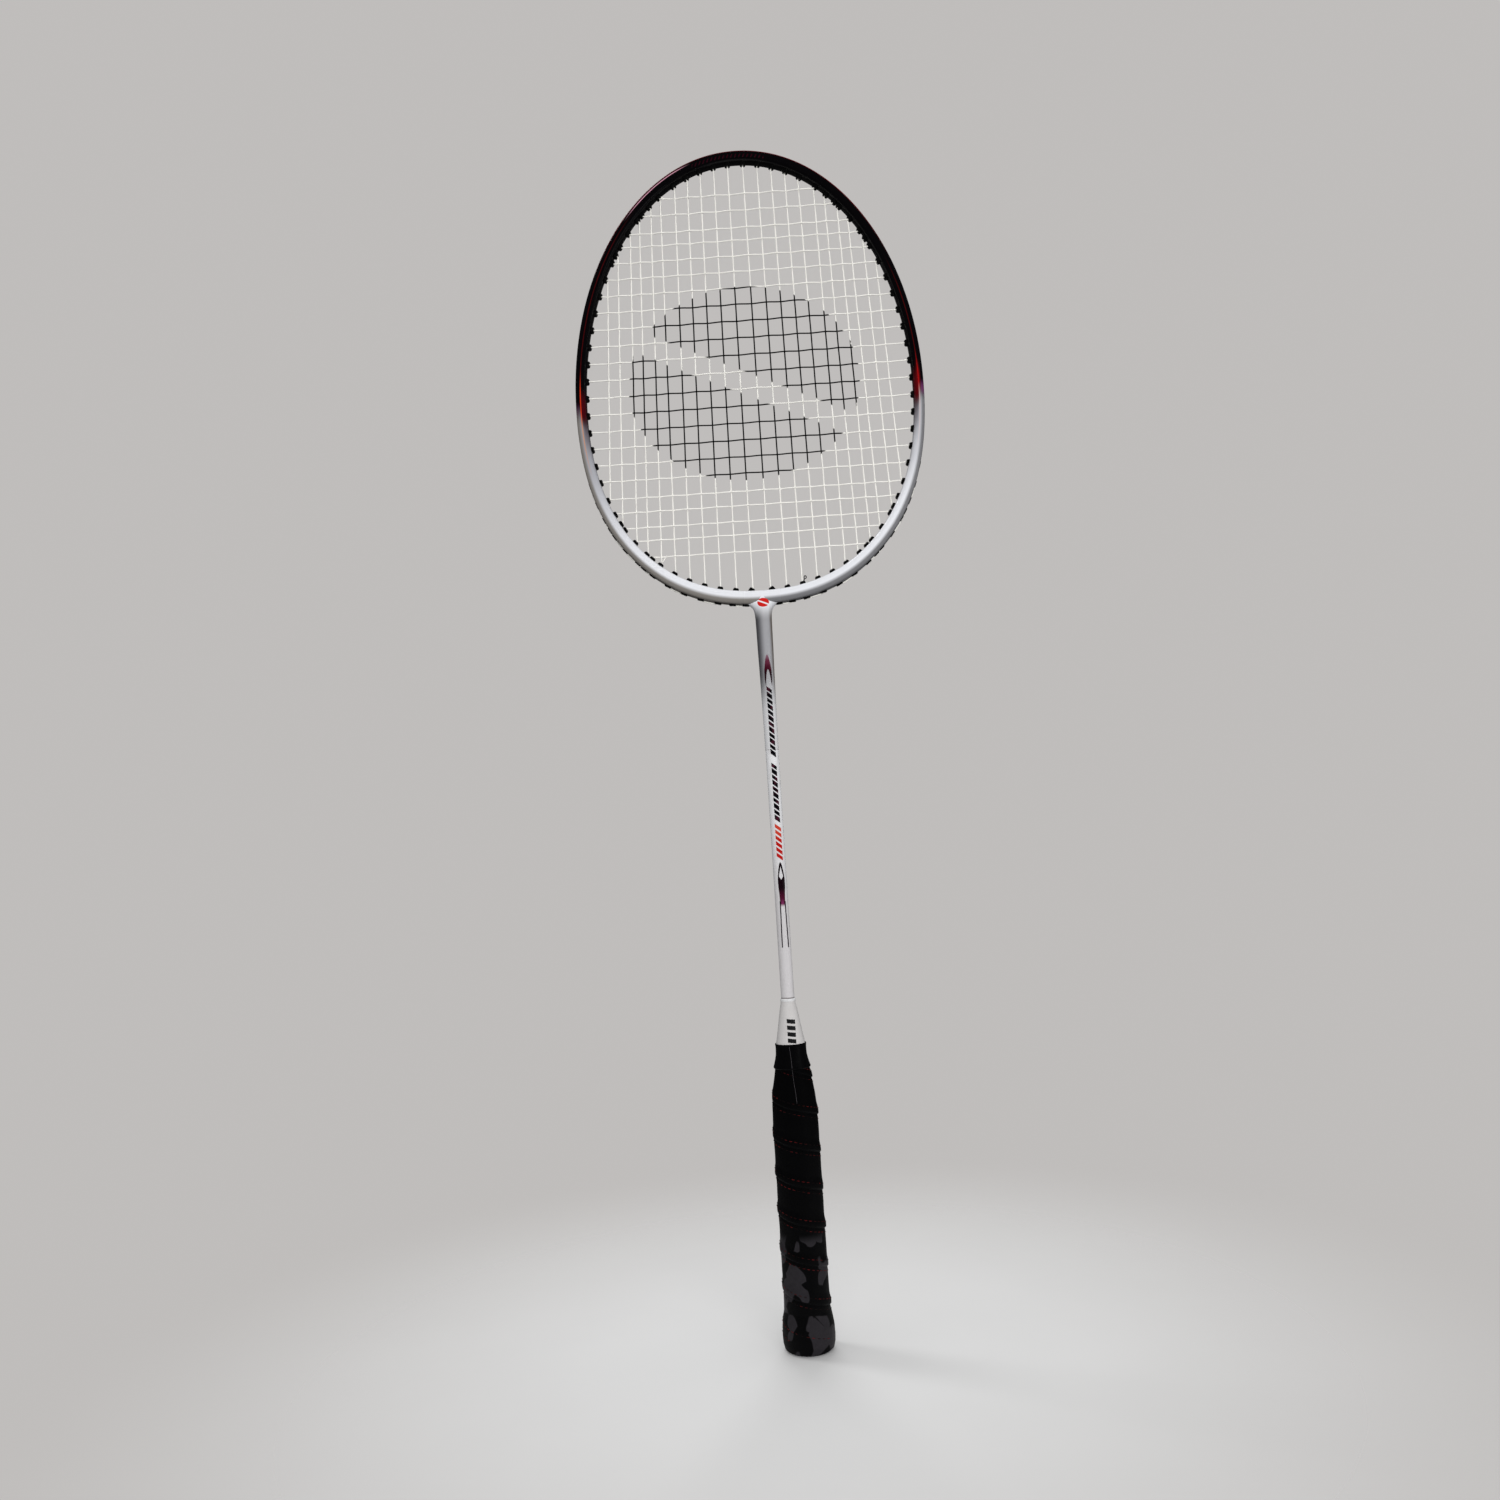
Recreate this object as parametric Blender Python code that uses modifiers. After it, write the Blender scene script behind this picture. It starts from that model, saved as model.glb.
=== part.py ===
"""A full-size badminton racket, standing on the end of its handle.

The origin is the middle of the flat end of the handle. +Z runs up the handle and the shaft to the top
of the head, +X is to the right of the head, and the string bed lies in the plane y = 0.

The head is an aluminium hoop whose two ends meet on a cast throat piece. A carbon shaft joins the throat
to a wooden handle with a plastic cone, a wound grip, a finishing tape and an end cap. Two strings are
laced through plastic grommets: one makes all the mains and the other all the crosses.
"""

import math

import bmesh
import bpy
from mathutils import Matrix, Vector

MM = 0.001

# Head: the line through the middle of the frame tube. Its upper half is almost an ellipse and its lower
# half is a little fuller, so the head is widest just below its middle.
HEAD_WIDEST_Z = 524.0 * MM
HEAD_HALF_WIDTH = 95.7 * MM
HEAD_TOP_RISE = 141.0 * MM
HEAD_BOTTOM_DROP = 115.2 * MM
HEAD_TOP_POWER = 2.03
HEAD_BOTTOM_POWER = 2.25
HOOP_STEPS = 64

# Frame tube, measured from its middle line: outwards from the head is positive.
TUBE_OUTSIDE = 3.0 * MM
TUBE_INSIDE = 3.0 * MM
TUBE_HALF_DEPTH = 4.5 * MM
GROOVE_FLOOR = 1.9 * MM
GROOVE_HALF_WIDTH = 1.6 * MM
FRAME_END_TURN = 0.4872
JOINT_GAP_TURN = 0.0003

# Throat piece
SPIGOT_TURN = 0.4715
SPIGOT_CLEARANCE = 0.15 * MM
STEM_TOP_Z = 410.0 * MM
STEM_END_Z = 322.0 * MM
SHAFT_BORE_TOP_Z = 386.0 * MM
WEB_HALF_THICKNESS = 3.4 * MM
WEB_HALF_WIDTH = 7.3 * MM
WEB_FOOT_X = 4.3 * MM
WEB_TOP_Z = 405.5 * MM
WEB_FOOT_Z = 398.6 * MM

# Shaft: a tube with a thinner end that is glued into the throat
SHAFT_RADIUS = 3.6 * MM
SHAFT_BORE_RADIUS = 2.3 * MM
SHAFT_SPIGOT_RADIUS = 3.1 * MM
SHAFT_TOP_Z = 384.0 * MM
SHAFT_FOOT_Z = 70.0 * MM
GLUE_GAP = 0.2 * MM

# Handle
CORE_SIDES = 8
GRIP_TOP_Z = 160.0 * MM
CONE_TOP_Z = 185.5 * MM
TAPE_FOOT_Z = 148.0 * MM
ROUND_STEPS = 24

# Strings and grommets
STRING_RADIUS = 0.4 * MM
BED_OFFSET = 0.43 * MM
RUN_LEVEL = 2.92 * MM
RUN_STEP = 9.0 * MM
TAIL_TURN = 0.008
MAINS_EACH_SIDE = 11
FIRST_MAIN_X = 4.6 * MM
MAIN_PITCH = 8.66 * MM
MAIN_PITCH_LOSS = 0.128 * MM
MAIN_FAN_PER_METRE = 0.49
MAIN_FAN_Z = 563.0 * MM
CROSS_COUNT = 23
TOP_CROSS_Z = 642.7 * MM
CROSS_PITCH = 8.5 * MM
CROSS_PITCH_GAIN = 1.5 * MM
SHARED_HOLE_SPACING = 4.0 * MM
BARREL_SIDES = 6
BARREL_RADIUS = 1.45 * MM
BARREL_BORE_RADIUS = 1.05 * MM
BARREL_CLEARANCE = 0.2 * MM
BARREL_INNER_END = 4.3 * MM
MOUTH = 4.6 * MM
RAIL_FOOT = 2.05 * MM
RAIL_THICKNESS = 0.3 * MM
RAIL_HALF_WIDTH = 1.4 * MM
STRIPS_EACH_SIDE = 6
STRIP_END_TURN = 0.0022
STEM_HOLE_LEANS = (4.2 * MM, 1.6 * MM)

SIDES = {"right": 1, "left": -1}


# ---------------------------------------------------------------- scene and materials


def clear_scene():
    for obj in list(bpy.data.objects):
        bpy.data.objects.remove(obj, do_unlink=True)


def new_collection(name):
    collection = bpy.data.collections.new(name)
    bpy.context.scene.collection.children.link(collection)
    return collection


def new_material(name, colour, roughness, metallic=0.0):
    material = bpy.data.materials.new(name)
    material.use_nodes = True
    shader = material.node_tree.nodes["Principled BSDF"]
    shader.inputs["Base Color"].default_value = (*colour, 1.0)
    shader.inputs["Roughness"].default_value = roughness
    shader.inputs["Metallic"].default_value = metallic
    return material


def add_object(name, data, collection, material=None):
    obj = bpy.data.objects.new(name, data)
    collection.objects.link(obj)
    if material:
        data.materials.append(material)
    return obj


def add_cutter(name, data):
    obj = add_object(name, data, cutters)
    obj.hide_render = True
    obj.display_type = "WIRE"
    return obj


def boolean(obj, other, operation):
    step = obj.modifiers.new(f"{operation.title()} {other.name}", "BOOLEAN")
    step.operation = operation
    step.object = other


# ---------------------------------------------------------------- the line of the hoop


def hoop_point(turn):
    """The hoop's middle line. turn 0 is the top, 0.25 the right side and 0.5 the throat."""
    angle = 2 * math.pi * turn
    sine, cosine = math.sin(angle), math.cos(angle)
    upper = cosine >= 0
    power = 2 / (HEAD_TOP_POWER if upper else HEAD_BOTTOM_POWER)
    reach = HEAD_TOP_RISE if upper else HEAD_BOTTOM_DROP
    across = HEAD_HALF_WIDTH * math.copysign(abs(sine) ** power, sine)
    along = reach * math.copysign(abs(cosine) ** power, cosine)
    return Vector((across, 0.0, HEAD_WIDEST_Z + along))


def hoop_tangent(turn):
    step = 1e-4
    return (hoop_point(turn + step) - hoop_point(turn - step)).normalized()


def hoop_normal(turn):
    """The direction out of the head, square to the hoop."""
    tangent = hoop_tangent(turn)
    return Vector((-tangent.z, 0.0, tangent.x))


def hoop_offset(turn, distance, y=0.0):
    point = hoop_point(turn) + hoop_normal(turn) * distance
    return Vector((point.x, y, point.z))


def hoop_length(start, end, steps=40):
    points = [hoop_point(start + (end - start) * k / steps) for k in range(steps + 1)]
    return sum((b - a).length for a, b in zip(points, points[1:]))


def solve(function, low, high):
    """Where a function that changes sign once between low and high is nought."""
    rises = function(high) > function(low)
    for _ in range(50):
        middle = (low + high) / 2
        if (function(middle) > 0) == rises:
            high = middle
        else:
            low = middle
    return (low + high) / 2


# ---------------------------------------------------------------- solids


def mesh_from_curve(obj, name):
    """The curve as a closed mesh: its caps are joined to its sides. The curve is removed."""
    bpy.context.view_layer.update()
    graph = bpy.context.evaluated_depsgraph_get()
    mesh = bpy.data.meshes.new_from_object(obj.evaluated_get(graph))
    mesh.name = name
    mesh.transform(obj.matrix_world)
    shape = bmesh.new()
    shape.from_mesh(mesh)
    bmesh.ops.remove_doubles(shape, verts=shape.verts, dist=1e-7)
    bmesh.ops.recalc_face_normals(shape, faces=shape.faces)
    shape.to_mesh(mesh)
    shape.free()
    bpy.data.objects.remove(obj, do_unlink=True)
    return mesh


def flat_curve(name, points, closed):
    curve = bpy.data.curves.new(name, "CURVE")
    curve.dimensions = "2D"
    curve.fill_mode = "BOTH" if closed else "NONE"
    spline = curve.splines.new("POLY")
    spline.points.add(len(points) - 1)
    for place, (x, y) in zip(spline.points, points):
        place.co = (x, y, 0.0, 1.0)
    spline.use_cyclic_u = closed
    return curve


def sweep(name, section, start, end, steps):
    """A section (distance out of the head, depth) carried along the hoop from one turn to another."""
    outline = [(-r, y) for r, y in section]  # a bevel's +X points into the hoop
    profile = add_cutter(f"{name} section", flat_curve(f"{name} section", outline, True))
    profile.data.fill_mode = "NONE"
    turns = [start + (end - start) * k / steps for k in range(steps + 1)]
    line = [(hoop_point(turn).x, hoop_point(turn).z) for turn in turns]
    path = add_cutter(f"{name} path", flat_curve(f"{name} path", line, False))
    path.data.bevel_mode = "OBJECT"
    path.data.bevel_object = profile
    path.data.use_fill_caps = True
    path.rotation_euler = (math.pi / 2, 0, 0)
    mesh = mesh_from_curve(path, name)
    bpy.data.objects.remove(profile, do_unlink=True)
    return mesh


def mirrored(half):
    """A section's points with their mirror images, for a section that is the same front and back."""
    return half + [(r, -y) for r, y in reversed(half) if y > 1e-9]


def tube_section():
    """The frame tube: a string groove between two lips outside, and a flat strip inside."""
    r, y = TUBE_OUTSIDE, TUBE_HALF_DEPTH
    return mirrored([
        (GROOVE_FLOOR, GROOVE_HALF_WIDTH),
        (r, GROOVE_HALF_WIDTH + 0.1 * MM),
        (r, 0.66 * y),
        (0.4 * r, y),
        (-0.45 * TUBE_INSIDE, 0.92 * y),
        (-TUBE_INSIDE, GROOVE_HALF_WIDTH),
    ])


def cavity_section(shrink=0.0):
    """The hollow inside the frame tube, or a plug that fits in it with some clearance."""
    r, y = TUBE_OUTSIDE, TUBE_HALF_DEPTH
    return mirrored([
        (0.36 * r - shrink, 0.6 * y - shrink),
        (-0.1 * r, 0.75 * y - shrink),
        (-0.7 * r + shrink, GROOVE_HALF_WIDTH + 0.1 * MM - shrink),
    ])


def cylinders(name, holes, radius, inner, outer):
    """One mesh of straight barrels, one at each hole, between two distances from the middle line."""
    shape = bmesh.new()
    for hole in holes:
        low, high = hole.at(inner), hole.at(outer)
        axis = (high - low).normalized()
        depth = Vector((0, 1, 0))
        turned = Matrix((depth.cross(axis), depth, axis)).transposed().to_4x4()
        turned.translation = (low + high) / 2
        bmesh.ops.create_cone(
            shape,
            cap_ends=True,
            segments=BARREL_SIDES,
            radius1=radius,
            radius2=radius,
            depth=(high - low).length,
            matrix=turned,
        )
    mesh = bpy.data.meshes.new(name)
    shape.to_mesh(mesh)
    shape.free()
    return mesh


def turned_piece(name, profile, collection, material, steps=ROUND_STEPS, closed=False):
    """A profile of (radius, z) pairs, listed top to bottom on its outer side, turned about Z."""
    mesh = bpy.data.meshes.new(name)
    verts = [(radius, 0.0, z) for radius, z in profile]
    edges = [(k, k + 1) for k in range(len(profile) - 1)]
    if closed:
        edges.append((len(profile) - 1, 0))
    mesh.from_pydata(verts, edges, [])
    obj = add_object(name, mesh, collection, material)
    screw = obj.modifiers.new("Screw", "SCREW")
    screw.steps = steps
    screw.render_steps = steps
    screw.use_merge_vertices = True
    screw.merge_threshold = 1e-6
    screw.use_smooth_shade = True
    return obj


# ---------------------------------------------------------------- string layout


class Hole:
    """A drilled hole through the frame, with the grommet barrel in it."""

    def __init__(self, turn, side, lean=0.0):
        self.turn = turn
        self.side = side
        self.lean = lean

    def at(self, distance, y=0.0):
        """A point on the hole's axis. A leaning hole moves sideways on its way out."""
        point = hoop_offset(self.turn, distance, y)
        share = (distance + MOUTH) / (MOUTH + RUN_LEVEL)
        point.x = self.side * (point.x + self.lean * share)
        return point

    def outer_turn(self):
        """The turn, on this hole's side, where its string comes out into the groove."""
        slide = self.lean / hoop_length(self.turn, self.turn + 0.001) * 0.001
        return self.turn - slide


def main_x(index, z):
    """How far out a main lies. The mains spread a little towards the throat."""
    across = FIRST_MAIN_X + MAIN_PITCH * index - MAIN_PITCH_LOSS * index**2
    return across * (1 - MAIN_FAN_PER_METRE * (z - MAIN_FAN_Z))


def cross_heights():
    """The crosses, top to bottom: wider apart in the middle of the bed than near its ends."""
    heights = [TOP_CROSS_Z]
    for index in range(CROSS_COUNT - 1):
        share = (index + 0.5) / (CROSS_COUNT - 1)
        pitch = CROSS_PITCH + CROSS_PITCH_GAIN * math.sin(math.pi * share)
        heights.append(heights[-1] - pitch)
    return heights


def string_ends():
    """Where each string meets the right-hand side of the frame, as (turn, kind, index)."""
    ends = []
    for index in range(MAINS_EACH_SIDE):

        def miss(turn, index=index):
            mouth = hoop_offset(turn, -MOUTH)
            return mouth.x - main_x(index, mouth.z)

        ends.append((solve(miss, 0.0005, 0.25), "top", index))
        ends.append((solve(miss, 0.25, 0.4995), "bottom", index))
    for index, z in enumerate(cross_heights()):
        turn = solve(lambda turn, z=z: hoop_offset(turn, -MOUTH).z - z, 0.0005, 0.4995)
        ends.append((turn, "cross", index))
    return sorted(ends)


def lay_out_holes(side):
    """The holes of one side of the frame, and which hole each string end uses.

    A main and a cross that come out close together share one hole.
    """
    groups = []
    for end in string_ends():
        if groups and hoop_length(groups[-1][-1][0], end[0]) < SHARED_HOLE_SPACING:
            groups[-1].append(end)
        else:
            groups.append([end])
    holes, of_end = [], {}
    for group in groups:
        turn = sum(end[0] for end in group) / len(group)
        _, kind, index = group[0]
        beside_stem = kind == "bottom" and index < len(STEM_HOLE_LEANS)
        hole = Hole(turn, SIDES[side], STEM_HOLE_LEANS[index] if beside_stem else 0.0)
        holes.append(hole)
        for _, kind, index in group:
            of_end[kind, index] = hole
    return holes, of_end


def groove_run(first, second, y):
    """The string along the bottom of the groove, from one hole to another."""
    start = first.side * first.outer_turn()
    end = second.side * second.outer_turn()
    count = max(1, round(hoop_length(start, end) / RUN_STEP))
    turns = [start + (end - start) * k / count for k in range(count + 1)]
    return [hoop_offset(turn, RUN_LEVEL, y) for turn in turns]


def tail(hole, towards, y):
    """A loose end, which lies in the groove beside its hole."""
    turn = hole.side * (hole.outer_turn() + towards * TAIL_TURN)
    return hoop_offset(turn, RUN_LEVEL, y)


def laced(spans, y, start, end):
    """One string through all its holes: spans are (hole it enters the bed by, hole it leaves by)."""
    points = [start]
    previous = None
    for entry, leave in spans:
        if previous:
            points += groove_run(previous, entry, y)
        else:
            points.append(entry.at(RUN_LEVEL, y))
        points += [entry.at(-MOUTH, y), leave.at(-MOUTH, y)]
        previous = leave
    points.append(previous.at(RUN_LEVEL, y))
    points.append(end)
    return points


def main_string_route(ends):
    """Up and down the mains, from the far left to the far right. The middle two are joined at the top."""
    columns = [("left", index) for index in reversed(range(MAINS_EACH_SIDE))]
    columns += [("right", index) for index in range(MAINS_EACH_SIDE)]
    spans = []
    for number, (side, index) in enumerate(columns):
        top, bottom = ends[side]["top", index], ends[side]["bottom", index]
        spans.append((bottom, top) if number % 2 == 0 else (top, bottom))
    first, last = spans[0][0], spans[-1][1]
    return laced(spans, BED_OFFSET, tail(first, 1, BED_OFFSET), tail(last, 1, BED_OFFSET))


def cross_string_route(ends):
    """Side to side down the crosses, from the top left to the bottom right."""
    spans = []
    for index in range(CROSS_COUNT):
        left, right = ends["left"]["cross", index], ends["right"]["cross", index]
        spans.append((left, right) if index % 2 == 0 else (right, left))
    first, last = spans[0][0], spans[-1][1]
    return laced(spans, -BED_OFFSET, tail(first, -1, -BED_OFFSET), tail(last, 1, -BED_OFFSET))


# ---------------------------------------------------------------- the pieces


def make_head_frame(hole_cutter):
    end = FRAME_END_TURN
    mesh = sweep("head_frame", tube_section(), -end, end, HOOP_STEPS)
    frame = add_object("head_frame", mesh, racket, aluminium)
    hollow_end = end + 4 * JOINT_GAP_TURN
    hollow = sweep("frame hollow", cavity_section(), -hollow_end, hollow_end, HOOP_STEPS)
    boolean(frame, add_cutter("frame hollow", hollow), "DIFFERENCE")
    boolean(frame, hole_cutter, "DIFFERENCE")


def stem_profile():
    """The throat's stem, which narrows to the shaft, top to bottom."""
    return [
        (0.0, STEM_TOP_Z),
        (3.9 * MM, STEM_TOP_Z),
        (4.4 * MM, 405.0 * MM),
        (4.6 * MM, 392.0 * MM),
        (4.5 * MM, 379.0 * MM),
        (4.15 * MM, 366.0 * MM),
        (3.95 * MM, 350.0 * MM),
        (3.8 * MM, 335.0 * MM),
        (3.72 * MM, STEM_END_Z),
        (0.0, STEM_END_Z),
    ]


def web_outline():
    """The small web that rounds the corners between the stem and the frame."""
    width, height = WEB_HALF_WIDTH - WEB_FOOT_X, WEB_TOP_Z - WEB_FOOT_Z
    right = [(WEB_HALF_WIDTH, STEM_TOP_Z - 2 * MM)]
    for step in range(5):
        angle = math.pi / 2 * (1 - step / 4)
        x = WEB_HALF_WIDTH - width * math.cos(angle)
        right.append((x, WEB_FOOT_Z + height * math.sin(angle)))
    right.append((WEB_FOOT_X - 1.5 * MM, WEB_FOOT_Z - 2 * MM))
    return right + [(-x, z) for x, z in reversed(right)]


def make_t_joint(hole_cutter):
    """The throat: a crossbar between the frame's ends, a plug into each end, and the stem."""
    start, end = FRAME_END_TURN + JOINT_GAP_TURN, 1 - FRAME_END_TURN - JOINT_GAP_TURN
    mesh = sweep("t_joint", tube_section(), start, end, 6)
    joint = add_object("t_joint", mesh, racket, throat_metal)
    plugs = sweep("plugs", cavity_section(SPIGOT_CLEARANCE), SPIGOT_TURN, 1 - SPIGOT_TURN, 10)
    boolean(joint, add_cutter("plugs", plugs), "UNION")
    stem = turned_piece("stem", stem_profile(), cutters, None)
    stem.hide_render = True
    stem.display_type = "WIRE"
    boolean(joint, stem, "UNION")
    web_curve = flat_curve("web", web_outline(), True)
    web_curve.extrude = WEB_HALF_THICKNESS
    web_object = add_cutter("web curve", web_curve)
    web_object.rotation_euler = (math.pi / 2, 0, 0)
    boolean(joint, add_cutter("web", mesh_from_curve(web_object, "web")), "UNION")
    bore_radius = SHAFT_SPIGOT_RADIUS + GLUE_GAP
    bore_profile = [(0.0, SHAFT_BORE_TOP_Z), (bore_radius, SHAFT_BORE_TOP_Z)]
    bore_profile += [(bore_radius, STEM_END_Z - 5 * MM), (0.0, STEM_END_Z - 5 * MM)]
    bore = turned_piece("shaft bore", bore_profile, cutters, None)
    bore.hide_render = True
    bore.display_type = "WIRE"
    boolean(joint, bore, "DIFFERENCE")
    boolean(joint, hole_cutter, "DIFFERENCE")


def make_shaft():
    """The tube, open at both ends. Its shoulder meets the end of the stem."""
    shoulder = STEM_END_Z - GLUE_GAP
    profile = [
        (SHAFT_SPIGOT_RADIUS, SHAFT_TOP_Z),
        (SHAFT_SPIGOT_RADIUS, shoulder),
        (SHAFT_RADIUS, shoulder),
        (SHAFT_RADIUS, SHAFT_FOOT_Z),
        (SHAFT_BORE_RADIUS, SHAFT_FOOT_Z),
        (SHAFT_BORE_RADIUS, SHAFT_TOP_Z),
    ]
    turned_piece("shaft", profile, racket, carbon, closed=True)


def make_handle_core():
    """The wooden core: eight flats, a neck inside the cone and a flared butt, bored for the shaft."""
    bore = (SHAFT_RADIUS + GLUE_GAP) / math.cos(math.pi / CORE_SIDES)
    profile = [
        (bore, 172.0 * MM),
        (4.95 * MM, 172.0 * MM),
        (5.9 * MM, 161.5 * MM),
        (7.4 * MM, 159.0 * MM),
        (8.6 * MM, 148.0 * MM),
        (11.0 * MM, 128.0 * MM),
        (11.0 * MM, 20.0 * MM),
        (12.6 * MM, 12.0 * MM),
        (12.2 * MM, 3.0 * MM),
        (4.8 * MM, 3.0 * MM),
        (4.8 * MM, 20.0 * MM),
        (bore, 24.0 * MM),
    ]
    core = turned_piece("handle_core", profile, racket, wood, CORE_SIDES, closed=True)
    core.rotation_euler = (0, 0, math.pi / CORE_SIDES)


def make_cone_cap():
    """The plastic cone that hides the top of the core. Its foot is under the finishing tape."""
    profile = [
        (4.1 * MM, CONE_TOP_Z),
        (4.1 * MM, 183.6 * MM),
        (4.5 * MM, 182.0 * MM),
        (5.3 * MM, 176.7 * MM),
        (6.6 * MM, 168.6 * MM),
        (8.0 * MM, 160.9 * MM),
        (6.5 * MM, 160.9 * MM),
        (4.65 * MM, 176.6 * MM),
        (3.85 * MM, 176.6 * MM),
        (3.85 * MM, CONE_TOP_Z),
    ]
    turned_piece("cone_cap", profile, racket, white_plastic, closed=True)


def make_grip_wrap():
    """The grip, wound round the core from the butt to just under the cone."""
    profile = [
        (8.3 * MM, GRIP_TOP_Z - 0.3 * MM),
        (9.3 * MM, TAPE_FOOT_Z),
        (11.1 * MM, 139.0 * MM),
        (12.5 * MM, 128.5 * MM),
        (12.7 * MM, 118.0 * MM),
        (12.7 * MM, 21.0 * MM),
        (14.5 * MM, 12.6 * MM),
        (14.1 * MM, 4.0 * MM),
        (12.8 * MM, 0.6 * MM),
        (12.5 * MM, 0.6 * MM),
        (12.5 * MM, 3.0 * MM),
        (12.9 * MM, 12.0 * MM),
        (11.3 * MM, 20.0 * MM),
        (11.3 * MM, 128.0 * MM),
        (8.9 * MM, 148.0 * MM),
        (7.9 * MM, GRIP_TOP_Z - 0.3 * MM),
    ]
    turned_piece("grip_wrap", profile, racket, grip_rubber, closed=True)


def make_grip_tape():
    """The finishing tape that holds the top of the grip."""
    profile = [
        (8.85 * MM, GRIP_TOP_Z + 1.4 * MM),
        (9.1 * MM, GRIP_TOP_Z - 2.0 * MM),
        (10.1 * MM, TAPE_FOOT_Z + 0.5 * MM),
        (9.6 * MM, TAPE_FOOT_Z + 0.5 * MM),
        (8.6 * MM, GRIP_TOP_Z - 0.5 * MM),
        (8.3 * MM, GRIP_TOP_Z + 1.4 * MM),
    ]
    turned_piece("grip_tape", profile, racket, black_tape, closed=True)


def make_butt_cap():
    """The end cap: a disc over the end of the core with a plug in its bore."""
    profile = [
        (0.0, 14.0 * MM),
        (3.6 * MM, 14.0 * MM),
        (4.0 * MM, 2.7 * MM),
        (12.0 * MM, 2.7 * MM),
        (12.2 * MM, 0.8 * MM),
        (11.4 * MM, 0.0),
        (0.0, 0.0),
    ]
    turned_piece("butt_cap", profile, racket, black_plastic)


def make_grommet_strips(side, holes):
    """The grommets of one side, in strips whose barrels stand on a thin rail in the groove."""
    size = len(holes) / STRIPS_EACH_SIDE
    half = RAIL_HALF_WIDTH
    section = [(RAIL_FOOT, half), (RAIL_FOOT, -half)]
    section += [(r + RAIL_THICKNESS, y) for r, y in reversed(section)]
    for number in range(STRIPS_EACH_SIDE):
        group = holes[round(number * size):round((number + 1) * size)]
        name = f"grommets_{side}_{number + 1}"
        first = group[0].side * (group[0].outer_turn() - STRIP_END_TURN)
        last = group[-1].side * (group[-1].outer_turn() + STRIP_END_TURN)
        start, end = sorted((first, last))
        steps = len(group)
        strip = add_object(name, sweep(name, section, start, end, steps), racket, grommet_nylon)
        barrels = cylinders(f"{name} barrels", group, BARREL_RADIUS, -BARREL_INNER_END, RAIL_FOOT + 0.1 * MM)
        boolean(strip, add_cutter(f"{name} barrels", barrels), "UNION")
        bores = cylinders(f"{name} bores", group, BARREL_BORE_RADIUS, -2 * MOUTH, 2 * TUBE_OUTSIDE)
        boolean(strip, add_cutter(f"{name} bores", bores), "DIFFERENCE")


def make_string(name, points, material):
    curve = bpy.data.curves.new(name, "CURVE")
    curve.dimensions = "3D"
    spline = curve.splines.new("POLY")
    spline.points.add(len(points) - 1)
    for place, point in zip(spline.points, points):
        place.co = (*point, 1.0)
    curve.bevel_depth = STRING_RADIUS
    curve.bevel_resolution = 2
    curve.use_fill_caps = True
    add_object(name, curve, racket, material)


clear_scene()
racket = new_collection("badminton racket")
cutters = new_collection("cutters")

aluminium = new_material("painted aluminium", (0.62, 0.63, 0.66), 0.25, 0.3)
throat_metal = new_material("painted throat casting", (0.70, 0.71, 0.74), 0.25, 0.3)
carbon = new_material("white lacquered carbon", (0.85, 0.85, 0.87), 0.25)
white_plastic = new_material("white plastic", (0.86, 0.86, 0.86), 0.4)
wood = new_material("limewood", (0.72, 0.52, 0.32), 0.6)
grip_rubber = new_material("black grip", (0.012, 0.012, 0.014), 0.5)
black_tape = new_material("black tape", (0.01, 0.01, 0.01), 0.35)
black_plastic = new_material("black plastic", (0.015, 0.015, 0.015), 0.45)
grommet_nylon = new_material("black nylon", (0.01, 0.01, 0.01), 0.4)
main_nylon = new_material("main string", (0.86, 0.84, 0.78), 0.4)
cross_nylon = new_material("cross string", (0.86, 0.84, 0.78), 0.4)

layout = {side: lay_out_holes(side) for side in SIDES}
all_holes = [hole for holes, _ in layout.values() for hole in holes]
string_end_holes = {side: of_end for side, (_, of_end) in layout.items()}
drill = cylinders("drill", all_holes, BARREL_RADIUS + BARREL_CLEARANCE, -2 * MOUTH, 2 * TUBE_OUTSIDE)
drill_cutter = add_cutter("drill", drill)

make_head_frame(drill_cutter)
make_t_joint(drill_cutter)
make_shaft()
make_handle_core()
make_cone_cap()
make_grip_wrap()
make_grip_tape()
make_butt_cap()
for side_name, (side_holes, _) in layout.items():
    make_grommet_strips(side_name, side_holes)
make_string("main_string", main_string_route(string_end_holes), main_nylon)
make_string("cross_string", cross_string_route(string_end_holes), cross_nylon)
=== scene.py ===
"""The looks of a badminton racket: paint, woven strings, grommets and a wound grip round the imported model.

Lengths are in millimetres and are turned into metres by MM; only the lights are placed in metres. +Z runs
up the handle to the top of the head, the string bed lies in y = 0, and the camera is in front, at -Y.
"""

import math

import bmesh
import bpy
from mathutils import Matrix, Vector, noise


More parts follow.
